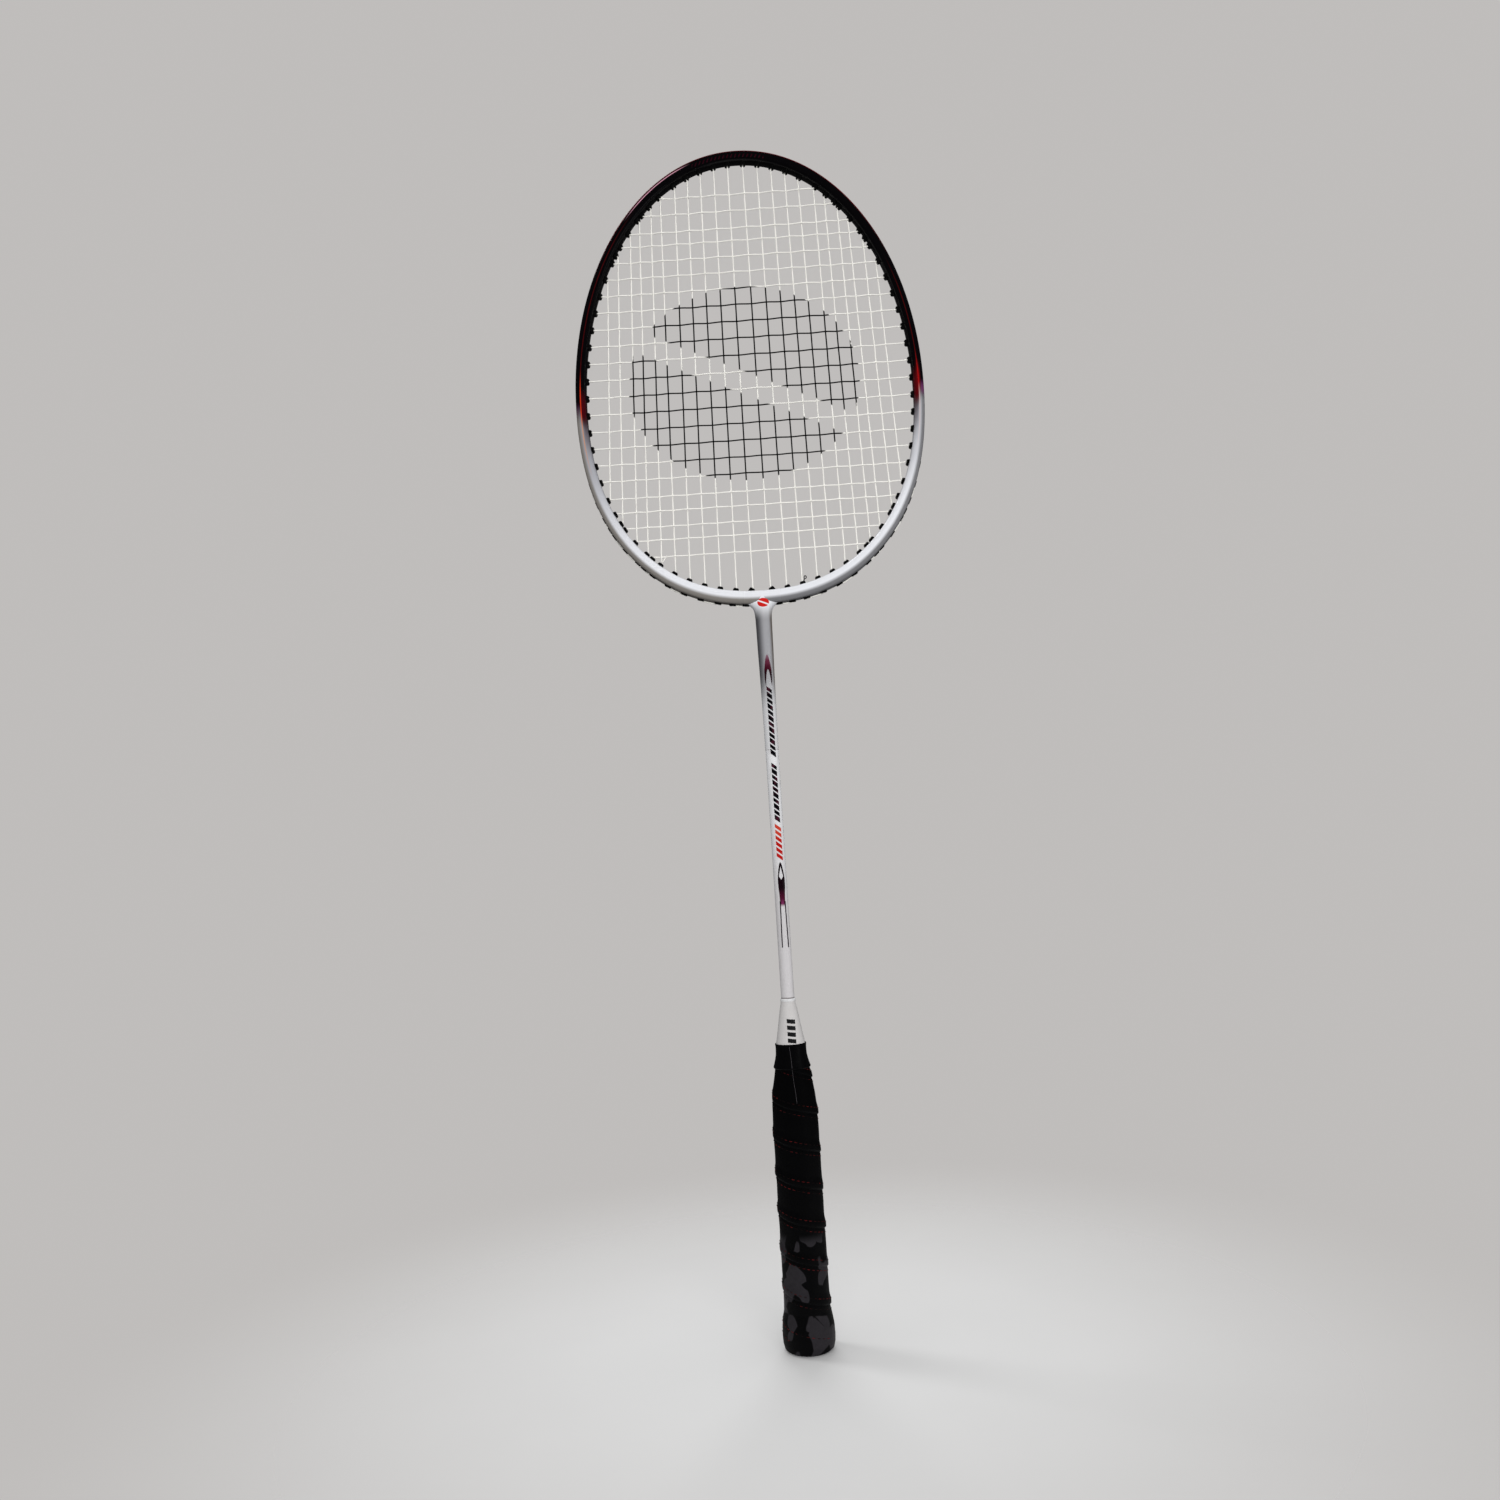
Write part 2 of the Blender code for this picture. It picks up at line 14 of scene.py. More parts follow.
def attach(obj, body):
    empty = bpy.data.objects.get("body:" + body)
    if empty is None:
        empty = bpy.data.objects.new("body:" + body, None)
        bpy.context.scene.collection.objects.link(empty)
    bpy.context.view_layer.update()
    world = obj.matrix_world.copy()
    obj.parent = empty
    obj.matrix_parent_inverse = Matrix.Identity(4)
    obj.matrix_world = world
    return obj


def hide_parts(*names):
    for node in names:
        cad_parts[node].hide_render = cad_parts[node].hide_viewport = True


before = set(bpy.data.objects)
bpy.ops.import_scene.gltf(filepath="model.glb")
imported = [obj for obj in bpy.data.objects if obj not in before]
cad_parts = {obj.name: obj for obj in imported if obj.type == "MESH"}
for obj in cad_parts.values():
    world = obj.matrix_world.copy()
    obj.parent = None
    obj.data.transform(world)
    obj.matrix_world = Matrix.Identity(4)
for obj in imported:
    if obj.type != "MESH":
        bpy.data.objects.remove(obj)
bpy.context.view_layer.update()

MM = 0.001
TURN = 2 * math.pi
SIDES = {"right": 1, "left": -1}

# Hoop: the line through the middle of the frame tube, as in the model.
HEAD_WIDEST_Z = 524
HEAD_HALF_WIDTH = 95.7
HEAD_TOP_RISE = 141
HEAD_BOTTOM_DROP = 115.2
HEAD_TOP_POWER = 2.03
HEAD_BOTTOM_POWER = 2.25
FRAME_END_TURN = 0.4872

# Tube section: "out" is the distance out of the head from the middle line.
TUBE_REACH = 3
TUBE_DEPTH = 4.5
TUBE_INNER_POWER = 2.7
TUBE_OUTER_POWER = 5
GROOVE_FLOOR = 1.9
GROOVE_HALF_WIDTH = 1.6
LOW_SWELL = 0.58

# String layout, as in the model.
STRING_RADIUS = 0.4
WEAVE_DEPTH = 0.43
RUN_LEVEL = 2.58
LOW_RUN_RISE = 2.85
MOUTH = 4.6
MAINS_EACH_SIDE = 11
FIRST_MAIN_X = 4.6
MAIN_PITCH = 8.66
MAIN_PITCH_LOSS = 0.128
MAIN_FAN = 0.00049
MAIN_FAN_Z = 563
CROSS_COUNT = 23
TOP_CROSS_Z = 642.7
CROSS_PITCH = 8.5
CROSS_PITCH_GAIN = 1.5
SHARED_HOLE_SPACING = 4
STRIPS_EACH_SIDE = 6
STEM_HOLE_LEANS = (4.2, 1.6)
WEAVE_STEPS = 6
CROSSING_SHARES = (0.004, 0.996)
TAIL_TURNS = 0.008

# Grommets: the collars inside the hoop as (out, half length, half depth), and the pads outside it.
COLLAR_LEVELS = [
    (-2.1, 1.65, 2.45), (-3.1, 1.65, 2.35), (-3.8, 1.6, 2.1), (-4.3, 1.45, 1.7), (-4.5, 1.2, 1.35),
    (-4.4, 0.62, 0.95), (-3.4, 0.55, 0.9),
]
COLLAR_POWER = 0.45
PAD_LENGTH = 3.8
PAD_WIDTH = 2.7
PAD_FOOT = 2
PAD_LEVEL = 2.97
LOW_PAD_RISE = 2.62
PAD_ROUNDING = 0.32

# Stem of the throat piece, as (z, half width) and (z, half depth), and the shaft.
STEM_FOOT_Z = 322
STEM_TOP_Z = 411
STEM_HALF_WIDTHS = [
    (322, 3.72), (335, 3.8), (350, 3.95), (366, 4.15), (379, 4.4), (390, 4.5), (396, 4.6),
    (398.2, 4.78), (400, 5.05), (401.4, 5.5), (402.5, 6.2), (403.4, 7.2), (404.2, 8.6), (405, 9.8),
    (406.2, 8), (408.6, 5), (410.4, 3),
]
STEM_HALF_DEPTHS = [
    (322, 3.72), (335, 3.8), (350, 3.95), (366, 4.15), (379, 4.45), (392, 4.55), (404, 4.6),
    (407, 4.58), (408.8, 4.5), (410.2, 4.15), (411, 3),
]
SHAFT_RADIUS = 3.6
SHAFT_FOOT_Z = 176

# Grip, as (z, radius) without its laps, the laps and their stitches, and the tape under the crease.
GRIP_RADII = [
    (0.6, 12.5), (1.4, 13.3), (4, 13.95), (8, 14.2), (12.6, 14.05), (16, 13.45), (21, 12.6),
    (30, 12.35), (60, 12.4), (118, 12.45), (128.5, 12.2), (134, 11.65), (139, 11), (148, 9.4),
    (152, 8.4), (155, 7.9), (159.7, 7.8),
]
LAP_PITCH = 20
LAP_LEFT_Z = 153
STITCH_OFFSET = 2.75
LAP_COUNT = 8
STITCHES_EACH_LAP = 30
STITCH_SHARE = 0.52
STITCH_RADIUS = 0.17
TAPE_FOOT_Z = 148.5
CREASE_RADII = [(148.5, 10.1), (150.2, 9.75), (152.6, 9.1), (155.5, 8.5), (158, 8.35), (161, 8.5)]
CREASE_TOP_Z = 160.5
CREASE_LENGTH = 29.5
CREASE_RADIUS = 0.10

# Frame paint: the black gives way to silver round FADE_MIDDLE_Z, and the red line's ends count from there.
BLACK_PAINT = (0.0016, 0.0013, 0.0018)
SILVER_PAINT = ((0.79, 0.80, 0.84), (0.84, 0.85, 0.89))
FADE_MIDDLE_Z = 518
FADE_HALF_HEIGHT = 6.5
LINE_START = 122
LINE_END = -40
LINE_LOWER_ON_RIGHT = 38
TOP_EDGE_OUT = 2.35
# The next number places the painted highlight line on the upper left of the black.
PAINTED_HIGHLIGHT_OUT = 1.2
TOP_MARK_PITCH = 2.3

# Badge on the throat, and the oval inked on the strings.
BADGE_X = 0.3
BADGE_Z = 404.3
BADGE_HALF_WIDTH = 3.3
BADGE_HALF_HEIGHT = 2.5
INK_X = -2.5
INK_Z = 532
INK_HALF_WIDTH = 66
INK_HALF_HEIGHT = 56.5

# Print on the shaft and the cone: its middle, the heights of its flames and rows, the spacing of its bars.
SHAFT_WHITE = (0.66, 0.66, 0.675)
PRINT_X = 0.55
UPPER_FLAME_TIP_Z = 374.9
UPPER_FLAME_FOOT_Z = 356.6
UPPER_WINDOW_TIP_Z = 366.6
UPPER_FLAME_TINTS = [
    (374.4, 371.2, (0.13, 0.018, 0.045)), (371.2, 367.4, (0.060, 0.0015, 0.012)),
    (367.4, 365, (0.018, 0.0008, 0.005)),
]
LOWER_FLAME_TIP_Z = 259.7
LOWER_FLAME_FOOT_Z = 235
PALE_DROP_TOP_Z = 257.4
PALE_DROP_FOOT_Z = 250.1
THIN_LINES = (213, 238.6)
UPPER_ROW = (318, 356.8)
LOWER_ROW = (281.8, 314.2)
RED_ROW = (261.2, 280.3)
ROW_EDGE = 0.2
MARK_SLANT = 0.8
BLACK_MARK_PITCH = 6.4
RED_MARK_PITCH = 3.17
CONE_MARK_X = 0.9
CONE_MARK_COUNT = 4
CONE_MARK_PITCH = 3.4
CONE_MARK_START_Z = 161.7

# Camera, surround and floor.
CAMERA_PLACE = Vector((0.3, -700, 266.6))
CAMERA_TARGET = Vector((-12.2, 0, 322.7))
CAMERA_ROLL_DEGREES = -3.56
CAMERA_LENS = 30.32
BACKDROP_GREY = (0.525, 0.51, 0.50)
SURROUND_ABOVE = 0.62
SURROUND_BELOW = 0.08
SURROUND_REFLECTION = 0.05
FLOOR_RADIUS = 2200
LIGHT_TARGET = (0, 0, 0.42)


# ---------------- small helpers


def smooth(value, low, high):
    """0 below low and 1 above high, with a soft step between them."""
    share = min(1, max(0, (value - low) / (high - low)))
    return share * share * (3 - 2 * share)


def along_line(value, stops):
    """The height at value of a line through (value, height) stops, in rising order."""
    for (a, first), (b, second) in zip(stops, stops[1:]):
        if value <= b:
            return first + (second - first) * max(0, (value - a) / (b - a))
    return stops[-1][1]


def solve(function, low, high):
    """Where a function that changes sign once between low and high is nought."""
    rises = function(high) > function(low)
    for _ in range(40):
        middle = (low + high) / 2
        if (function(middle) > 0) == rises:
            high = middle
        else:
            low = middle
    return (low + high) / 2


def signed_power(value, power):
    """A power of a number's size, with the number's sign."""
    return math.copysign(abs(value) ** power, value)


def around_z(angle, z, wide, deep=None):
    """A point of a circle or an ellipse round Z. Angle 0 is the left, and a quarter turn is the front."""
    return (-wide * math.cos(angle), -(wide if deep is None else deep) * math.sin(angle), z)


# ---------------- the line of the hoop


def hoop_point(turn):
    """The hoop's middle line. turn 0 is the top, 0.25 the right side and 0.5 the throat."""
    sine, cosine = math.sin(TURN * turn), math.cos(TURN * turn)
    upper = cosine >= 0
    power = 2 / (HEAD_TOP_POWER if upper else HEAD_BOTTOM_POWER)
    reach = HEAD_TOP_RISE if upper else HEAD_BOTTOM_DROP
    across = HEAD_HALF_WIDTH * signed_power(sine, power)
    return Vector((across, 0, HEAD_WIDEST_Z + reach * signed_power(cosine, power)))


def hoop_tangent(turn):
    """The direction along the hoop, clockwise from the front."""
    return (hoop_point(turn + 1e-4) - hoop_point(turn - 1e-4)).normalized()


def hoop_normal(turn):
    """The direction out of the head, square to the hoop."""
    tangent = hoop_tangent(turn)
    return Vector((-tangent.z, 0, tangent.x))


def hoop_offset(turn, out, y=0):
    """The place this far out of the hoop's middle line."""
    point = hoop_point(turn) + hoop_normal(turn) * out
    return Vector((point.x, y, point.z))


def hoop_length(start, end, steps=24):
    """The length of the middle line between two turns."""
    points = [hoop_point(start + (end - start) * k / steps) for k in range(steps + 1)]
    return sum((b - a).length for a, b in zip(points, points[1:]))


# ---------------- string layout


def lowness(turn):
    """1 at the bottom of the hoop, where the tube is thickest, and 0 round the top."""
    z = hoop_point(turn).z
    return 1 - 0.55 * smooth(z, 440, 508) - 0.45 * smooth(z, 409, 438)


def run_level(turn):
    """How far out the strings lie outside the frame: they are prouder round the bottom of the hoop."""
    return RUN_LEVEL + LOW_RUN_RISE * lowness(turn)


class Hole:
    """A drilled hole through the frame. The two beside the stem lean outwards."""

    def __init__(self, turn, side, lean=0):
        self.turn = turn
        self.side = side
        self.lean = lean

    def at(self, out, y=0):
        """The place in the hole this far out of the middle line."""
        point = hoop_offset(self.turn, out, y)
        point.x = self.side * (point.x + self.lean * (out + MOUTH) / (MOUTH + RUN_LEVEL))
        return point

    def outer_turn(self):
        """The signed turn where the string comes out into the groove."""
        return self.side * (self.turn - self.lean / hoop_length(self.turn, self.turn + 0.001) * 0.001)


def main_x(index, z):
    """How far a main is from the middle at a height. The mains fan out a little towards the throat."""
    across = FIRST_MAIN_X + MAIN_PITCH * index - MAIN_PITCH_LOSS * index**2
    return across * (1 - MAIN_FAN * (z - MAIN_FAN_Z))


def cross_heights():
    """The crosses' heights from the top down, closer together near both ends."""
    heights = [TOP_CROSS_Z]
    for index in range(CROSS_COUNT - 1):
        share = (index + 0.5) / (CROSS_COUNT - 1)
        heights.append(heights[-1] - CROSS_PITCH - CROSS_PITCH_GAIN * math.sin(math.pi * share))
    return heights


def string_ends():
    """Where each string meets the right-hand side of the frame, as (turn, kind, index)."""
    ends = []
    for index in range(MAINS_EACH_SIDE):

        def miss(turn, index=index):
            mouth = hoop_offset(turn, -MOUTH)
            return mouth.x - main_x(index, mouth.z)

        ends.append((solve(miss, 0.0005, 0.25), "top", index))
        ends.append((solve(miss, 0.25, 0.4995), "bottom", index))
    for index, z in enumerate(cross_heights()):
        turn = solve(lambda turn, z=z: hoop_offset(turn, -MOUTH).z - z, 0.0005, 0.4995)
        ends.append((turn, "cross", index))
    return sorted(ends)


def lay_out_holes(side):
    """The holes of one side, and which hole each string end uses. Close ends share a hole."""
    groups = []
    for end in string_ends():
        if groups and hoop_length(groups[-1][-1][0], end[0]) < SHARED_HOLE_SPACING:
            groups[-1].append(end)
        else:
            groups.append([end])
    holes, of_end = [], {}
    for group in groups:
        turn = sum(end[0] for end in group) / len(group)
        _, kind, index = group[0]
        beside_stem = kind == "bottom" and index < len(STEM_HOLE_LEANS)
        hole = Hole(turn, SIDES[side], STEM_HOLE_LEANS[index] if beside_stem else 0)
        holes.append(hole)
        for _, kind, index in group:
            of_end[kind, index] = hole
    return holes, of_end


# ---------------- meshes


def show(obj, slot, *nodes):
    """Puts a finished piece on the racket, in place of the model's plain ones."""
    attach(obj, "root")
    if nodes:
        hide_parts(*nodes)


def new_object(name, data):
    """An object in the scene."""
    obj = bpy.data.objects.new(name, data)
    bpy.context.scene.collection.objects.link(obj)
    return obj


def finish_mesh(name, shape, material, sharp_degrees=40):
    """An object from a bmesh in millimetres, its faces turned outwards."""
    bmesh.ops.recalc_face_normals(shape, faces=shape.faces)
    bmesh.ops.scale(shape, vec=(MM, MM, MM), verts=shape.verts)
    mesh = bpy.data.meshes.new(name)
    shape.to_mesh(mesh)
    shape.free()
    mesh.shade_smooth()
    mesh.set_sharp_from_angle(angle=math.radians(sharp_degrees))
    mesh.materials.append(material)
    return new_object(name, mesh)


def add_skin(shape, rings, closed=False):
    """A skin over rings of points, all of one count. It has a flat cap at each end unless it is closed."""
    verts = [[shape.verts.new(point) for point in ring] for ring in rings]
    count = len(rings[0])
    pairs = list(zip(verts, verts[1:]))
    if closed:
        pairs.append((verts[-1], verts[0]))
    for first, second in pairs:
        for i in range(count):
            j = (i + 1) % count
            shape.faces.new((first[i], first[j], second[j], second[i]))
    if not closed:
        shape.faces.new(reversed(verts[0]))
        shape.faces.new(verts[-1])
    return verts


def turned_rings(profile, sides, shape_of=None):
    """Rings of points round Z for (radius, z) pairs. shape_of(angle, radius, z) may change a radius."""
    rings = []
    for radius, z in profile:
        ring = []
        for k in range(sides):
            angle = TURN * k / sides
            r = shape_of(angle, radius, z) if shape_of else radius
            ring.append(around_z(angle, z, r))
        rings.append(ring)
    return rings


def turned(name, profile, sides, material, shape_of=None, closed=False, sharp_degrees=40):
    """An object turned round Z."""
    shape = bmesh.new()
    add_skin(shape, turned_rings(profile, sides, shape_of), closed)
    return finish_mesh(name, shape, material, sharp_degrees)


def rounded(profile, radius=0.3, steps=4):
    """A profile with each inner corner rounded to about this size."""
    result = [profile[0]]
    for before, corner, after in zip(profile, profile[1:], profile[2:]):
        a, b, c = Vector(before), Vector(corner), Vector(after)
        cut = min(radius, (a - b).length / 2.2, (c - b).length / 2.2)
        start = b + (a - b).normalized() * cut
        end = b + (c - b).normalized() * cut
        for k in range(steps + 1):
            t = k / steps
            point = start * (1 - t) ** 2 + b * 2 * t * (1 - t) + end * t**2
            result.append((point.x, point.y))
    result.append(profile[-1])
    return result


def spaced(profile, gap):
    """A profile with extra points, so that none are further apart than gap."""
    result = [profile[0]]
    for (r0, z0), (r1, z1) in zip(profile, profile[1:]):
        steps = max(1, math.ceil(math.hypot(r1 - r0, z1 - z0) / gap))
        for k in range(1, steps + 1):
            result.append((r0 + (r1 - r0) * k / steps, z0 + (z1 - z0) * k / steps))
    return result


def tube(name, paths, radius, material, resolution=2):
    """Round threads along lists of points in millimetres, as one object."""
    curve = bpy.data.curves.new(name, "CURVE")
    curve.dimensions = "3D"
    for path in paths:
        spline = curve.splines.new("POLY")
        spline.points.add(len(path) - 1)
        for place, point in zip(spline.points, path):
            place.co = (*(Vector(point) * MM), 1)
    curve.bevel_depth = radius * MM
    curve.bevel_resolution = resolution
    curve.use_fill_caps = True
    curve.materials.append(material)
    return new_object(name, curve)


# ---------------- materials


class Value:
    """A number or a colour inside a material, with the sums and blends that are done on it."""

    def __init__(self, shader, socket):
        self.shader = shader
        self.socket = socket

    def math(self, operation, *others):
        return self.shader.math(operation, self, *others)

    def __add__(self, other):
        return self.math("ADD", other)

    def __sub__(self, other):
        return self.math("SUBTRACT", other)

    def __rsub__(self, other):
        return self.shader.math("SUBTRACT", other, self)

    def __mul__(self, other):
        return self.math("MULTIPLY", other)

    def __truediv__(self, other):
        return self.math("DIVIDE", other)

    def __abs__(self):
        return self.math("ABSOLUTE")

    def cell(self, pitch):
        """How far through its pitch the value is, from 0 to 1."""
        return (self / pitch).math("FRACT")

    def step(self, low, high):
        """0 at low and 1 at high, with a soft step between them. low may be the larger."""
        places = (self, low, high, 0, 1) if low < high else (self, high, low, 1, 0)
        inputs = dict(enumerate(places))
        return self.shader.node("ShaderNodeMapRange", inputs, interpolation_type="SMOOTHSTEP")

    def band(self, low, high, soft):
        """1 between low and high."""
        return self.step(low, low + soft) * self.step(high, high - soft)

    def bell(self, middle, width):
        """1 at the middle, falling away smoothly on both sides."""
        return abs(self - middle).step(width, 0)

    def spread(self, low, high):
        """A number between low, at 0, and high, at 1."""
        return self.shader.node("ShaderNodeMapRange", dict(enumerate((self, 0, 1, low, high))))

    def mix(self, first, second):
        """A colour between the first, at 0, and the second, at 1."""
        return self.shader.node("ShaderNodeMix", {0: self, 6: first, 7: second}, 2, data_type="RGBA")


class Shader:
    """A Principled material, with one call for each node that feeds it."""

    def __init__(self, name, **sockets):
        self.material = bpy.data.materials.new(name)
        self.material.use_nodes = True
        self.tree = self.material.node_tree
        self.surface = self.tree.nodes["Principled BSDF"]
        self.place = None
        for socket, value in sockets.items():
            self.set(socket.replace("_", " "), value)

    def link(self, value, target):
        if isinstance(value, Value):
            self.tree.links.new(value.socket, target)
        elif isinstance(value, tuple) and len(value) == 3 and len(target.default_value) == 4:
            target.default_value = (*value, 1)
        else:
            target.default_value = value

    def set(self, socket, value):
        self.link(value, self.surface.inputs[socket])

    def node(self, kind, inputs, output=0, **settings):
        """The output of a new node. inputs says what feeds its inputs, by their numbers or names."""
        node = self.tree.nodes.new(kind)
        for name, value in settings.items():
            setattr(node, name, value)
        for place, value in inputs.items():
            self.link(value, node.inputs[place])
        return Value(self, node.outputs[output])

    def math(self, operation, *values):
        return self.node("ShaderNodeMath", dict(enumerate(values)), operation=operation)

    def point(self):
        """The place on the racket, in millimetres, as a vector."""
        if not self.place:
            metres = self.node("ShaderNodeTexCoord", {}, "Object")
            self.place = self.node("ShaderNodeVectorMath", {0: metres, "Scale": 1 / MM}, operation="SCALE")
        return self.place

    def xyz(self):
        return [self.node("ShaderNodeSeparateXYZ", {0: self.point()}, axis) for axis in range(3)]

    def out(self):
        """The place across the frame tube, which the mesh keeps."""
        return self.node("ShaderNodeAttribute", {}, "Fac", attribute_name="out")

    def noise(self, scale, detail=3, stretch=None, roughness=0.5):
        """Noise from 0 to 1. scale is in waves per millimetre."""
        vector = self.point()
        if stretch:
            vector = self.node("ShaderNodeVectorMath", {0: vector, 1: stretch}, operation="MULTIPLY")
        inputs = {"Vector": vector, "Scale": scale, "Detail": detail, "Roughness": roughness}
        return self.node("ShaderNodeTexNoise", inputs)

    def cells(self, scale, feature="F1"):
        inputs = {"Vector": self.point(), "Scale": scale}
        return self.node("ShaderNodeTexVoronoi", inputs, "Distance", feature=feature)

    def bump(self, height, distance):
        """Bump of this many millimetres."""
        self.set("Normal", self.node("ShaderNodeBump", {"Distance": distance * MM, "Height": height}))


def painted_shade_outer_wall(colour, out, right):
    """Painted shade: grey on the tube's outer wall and underside, which face away from the light, a little
    brown on the left.
    """
    grey = right.mix((0.22, 0.205, 0.19), (0.19, 0.19, 0.20))
    return out.step(0.2, 1.8).mix(colour, grey)


def frame_silver(flake, above, out, inner, right):
    """Silver-white that turns smoky grey towards the black, partly the paint's own fade and partly painted
    shade, which is darker and reaches further down on the left; a dark plum tint on the inner side just below
    the fade.
    """
    # Painted shade together with the paint's smoky fade: the silver greys towards the black, more so and from
    # further down on the left.
    smoky_and_shaded = flake.mix((0.21, 0.21, 0.24), (0.25, 0.25, 0.28))
    shade = right.spread(above.step(-93, -10), above.step(-68, -4)) * right.spread(0.86, 0.62)
    # Painted shade greys the outer wall and underside of the tube.
    silver = painted_shade_outer_wall(shade.mix(flake.mix(*SILVER_PAINT), smoky_and_shaded), out, right)
    plum = inner * above.step(-28, -6) * 0.8
    return plum.mix(silver, (0.075, 0.050, 0.065))


def fade_flare(colour, above, out, right):
    """Maroon under the black from the line inwards, a red glow by the line on the right, violet outside."""
    inside = out.step(0.9, -0.3) * out.step(-4.6, -1.4)
    flare = above.step(17, 6) * above.step(-9, 0)
    colour = (inside * flare).mix(colour, right.mix((0.050, 0.001, 0.004), (0.085, 0.001, 0.003)))
    glow = abs(out).step(1.5, 0.2) * above.step(21, 9) * right * above.step(-2, 5) * 0.9
    colour = glow.mix(colour, (0.14, 0.0012, 0.002))
    violet = above.bell(2.5, 6) * out.step(0.4, 1.4) * right.spread(0.25, 0.8)
    return violet.mix(colour, (0.13, 0.022, 0.10))


def red_line(colour, above, out, right):
    """A dark hairline that starts high up, turns bright red, then pale, and fades out lower down."""
    near = above.step(28, 12)
    line = (abs(out) - near.spread(0.05, 0.17)).step(0.30, -0.12)
    line = line * (above + right * LINE_LOWER_ON_RIGHT).step(LINE_START, LINE_START - 30)
    line = line * above.step(LINE_END, LINE_END + 28) * (right * above.step(12, -8)).spread(1, 0.5)
    bright = right.mix((0.58, 0.030, 0.004), (0.34, 0.003, 0.003))
    red = near.mix((0.080, 0.0008, 0.001), bright)
    pale = right.mix((0.60, 0.29, 0.17), (0.78, 0.60, 0.58))
    return line.mix(colour, (above - right * 4).step(3, -9).mix(red, pale))


def top_marks(colour, x, y, z, out):
    """A dark red line on the top's outer edge, a pink painted highlight inside it on the left, and faint
    slanted marks.
    """
    top = z.step(590, 640)
    colour = (out.bell(TOP_EDGE_OUT, 0.5) * top).mix(colour, (0.13, 0.002, 0.006))
    # Painted highlight: a thin pale pink line on the upper left of the black, where the gloss catches the
    # light.
    painted_highlight_line = out.bell(PAINTED_HIGHLIGHT_OUT, 0.38) * x.band(-66, -25, 11) * top
    colour = painted_highlight_line.mix(colour, (0.70, 0.34, 0.44))
    marks = (x - out * 0.5).cell(TOP_MARK_PITCH).band(0.15, 0.55, 0.1) * out.band(-1.5, 0.5, 0.2)
    marks = marks * x.band(-25, 17, 0.5) * z.step(620, 640) * y.step(-2, -3)
    return marks.mix(colour, (0.022, 0.001, 0.005))


def frame_paint():
    """Gloss black above and silver-white below, with a red line down the front that flares between them."""
    shader = Shader("frame_paint", Coat_Weight=0.05, Coat_Roughness=0.14, Specular_IOR_Level=0.12)
    x, y, z = shader.xyz()
    out = shader.out()
    right = x.step(-0.2 * HEAD_HALF_WIDTH, 0.2 * HEAD_HALF_WIDTH)
    above = z - FADE_MIDDLE_Z
    # The black ends lower on the inner side of the tube.
    inner = out.step(0.6, -1.6)
    black = (above + inner * 5).step(-FADE_HALF_HEIGHT, FADE_HALF_HEIGHT)
    silver = frame_silver(shader.noise(7, 2), above, out, inner, right)
    colour = fade_flare(black.mix(silver, BLACK_PAINT), above, out, right)
    colour = red_line(colour, above, out, right)
    shader.set("Base Color", top_marks(colour, x, y, z, out))
    shader.set("Metallic", black.spread(0.12, 0))
    shader.set("Roughness", shader.noise(0.25).spread(0.18, 0.28))
    shader.bump(shader.noise(1.6, 1), 0.008)
    return shader.material


def throat_paint():
    """Silver-white paint, with painted shade on the crossbar's outer wall, grey on the stem with painted
    shade darkening its edges, and a red badge and the print on the front.
    """
    shader = Shader("throat_paint", Coat_Weight=0.05, Coat_Roughness=0.25, Specular_IOR_Level=0.25)
    x, y, z = shader.xyz()
    flake = shader.noise(7, 2)
    # Painted shade greys the crossbar's outer wall, as on the hoop.
    silver = painted_shade_outer_wall(flake.mix(*SILVER_PAINT), shader.out(), x.step(-6, 6))
    below_bar = z.step(404, 394)
    bare = below_bar * z.step(340, 366)
    stem = flake.mix((0.37, 0.37, 0.39), (0.41, 0.41, 0.43))
    # Painted shade: the stem darkens towards its left edge, and a brownish painted shade runs down its right
    # edge.
    stem = x.step(0.2, -4).mix(stem, (0.10, 0.10, 0.11))
    stem = x.step(2.6, 4.3).mix(stem, (0.17, 0.145, 0.125))
    colour = bare.mix(below_bar.mix(silver, SHAFT_WHITE), stem)
    badge = split_oval((x - BADGE_X) / BADGE_HALF_WIDTH, (z - BADGE_Z) / BADGE_HALF_HEIGHT, 0.17, 0.04)
    colour = (badge * y.step(-1, -2)).mix(colour, (0.62, 0.012, 0.008))
    shader.set("Base Color", shaft_print(shader, colour, x, y, z))
    shader.set("Metallic", bare.spread(0.12, 0.25))
    shader.set("Roughness", shader.noise(0.25).spread(0.32, 0.42))
    shader.bump(shader.noise(1.6, 1), 0.008)
    return shader.material


def split_oval(across, up, gap, soft):
    """An oval patch with a slanted gap through it. It reaches from -1 to 1 both ways."""
    inside = (across * across + up * up).step(1 + soft, 1 - soft)
    return inside * abs(up + across * 0.55).step(gap - soft, gap + soft)


def arch(across, z, tip, length, half_width):
    """1 inside a round-sided point whose tip is at this height and which widens over its length."""
    ratio = across / half_width
    return ((tip - z) / length - ratio * ratio).step(-0.03, 0.04)


def upper_flame(colour, front, across, z):
    """An arch with two legs, lilac at its tip and nearly black lower down."""
    flame = arch(across, z, UPPER_FLAME_TIP_Z, 8.5, 2) * abs(across).step(2.12, 1.98)
    flame = flame * z.step(UPPER_FLAME_FOOT_Z, UPPER_FLAME_FOOT_Z + 3.9)
    window = arch(across, z, UPPER_WINDOW_TIP_Z, 5.4, 1.25) * abs(across).step(1.42, 1.30)
    tint = (0.22, 0.11, 0.15)
    for above, below, darker in UPPER_FLAME_TINTS:
        tint = z.step(above, below).mix(tint, darker)
    return (flame * window.step(0.8, 0.2) * front).mix(colour, tint)


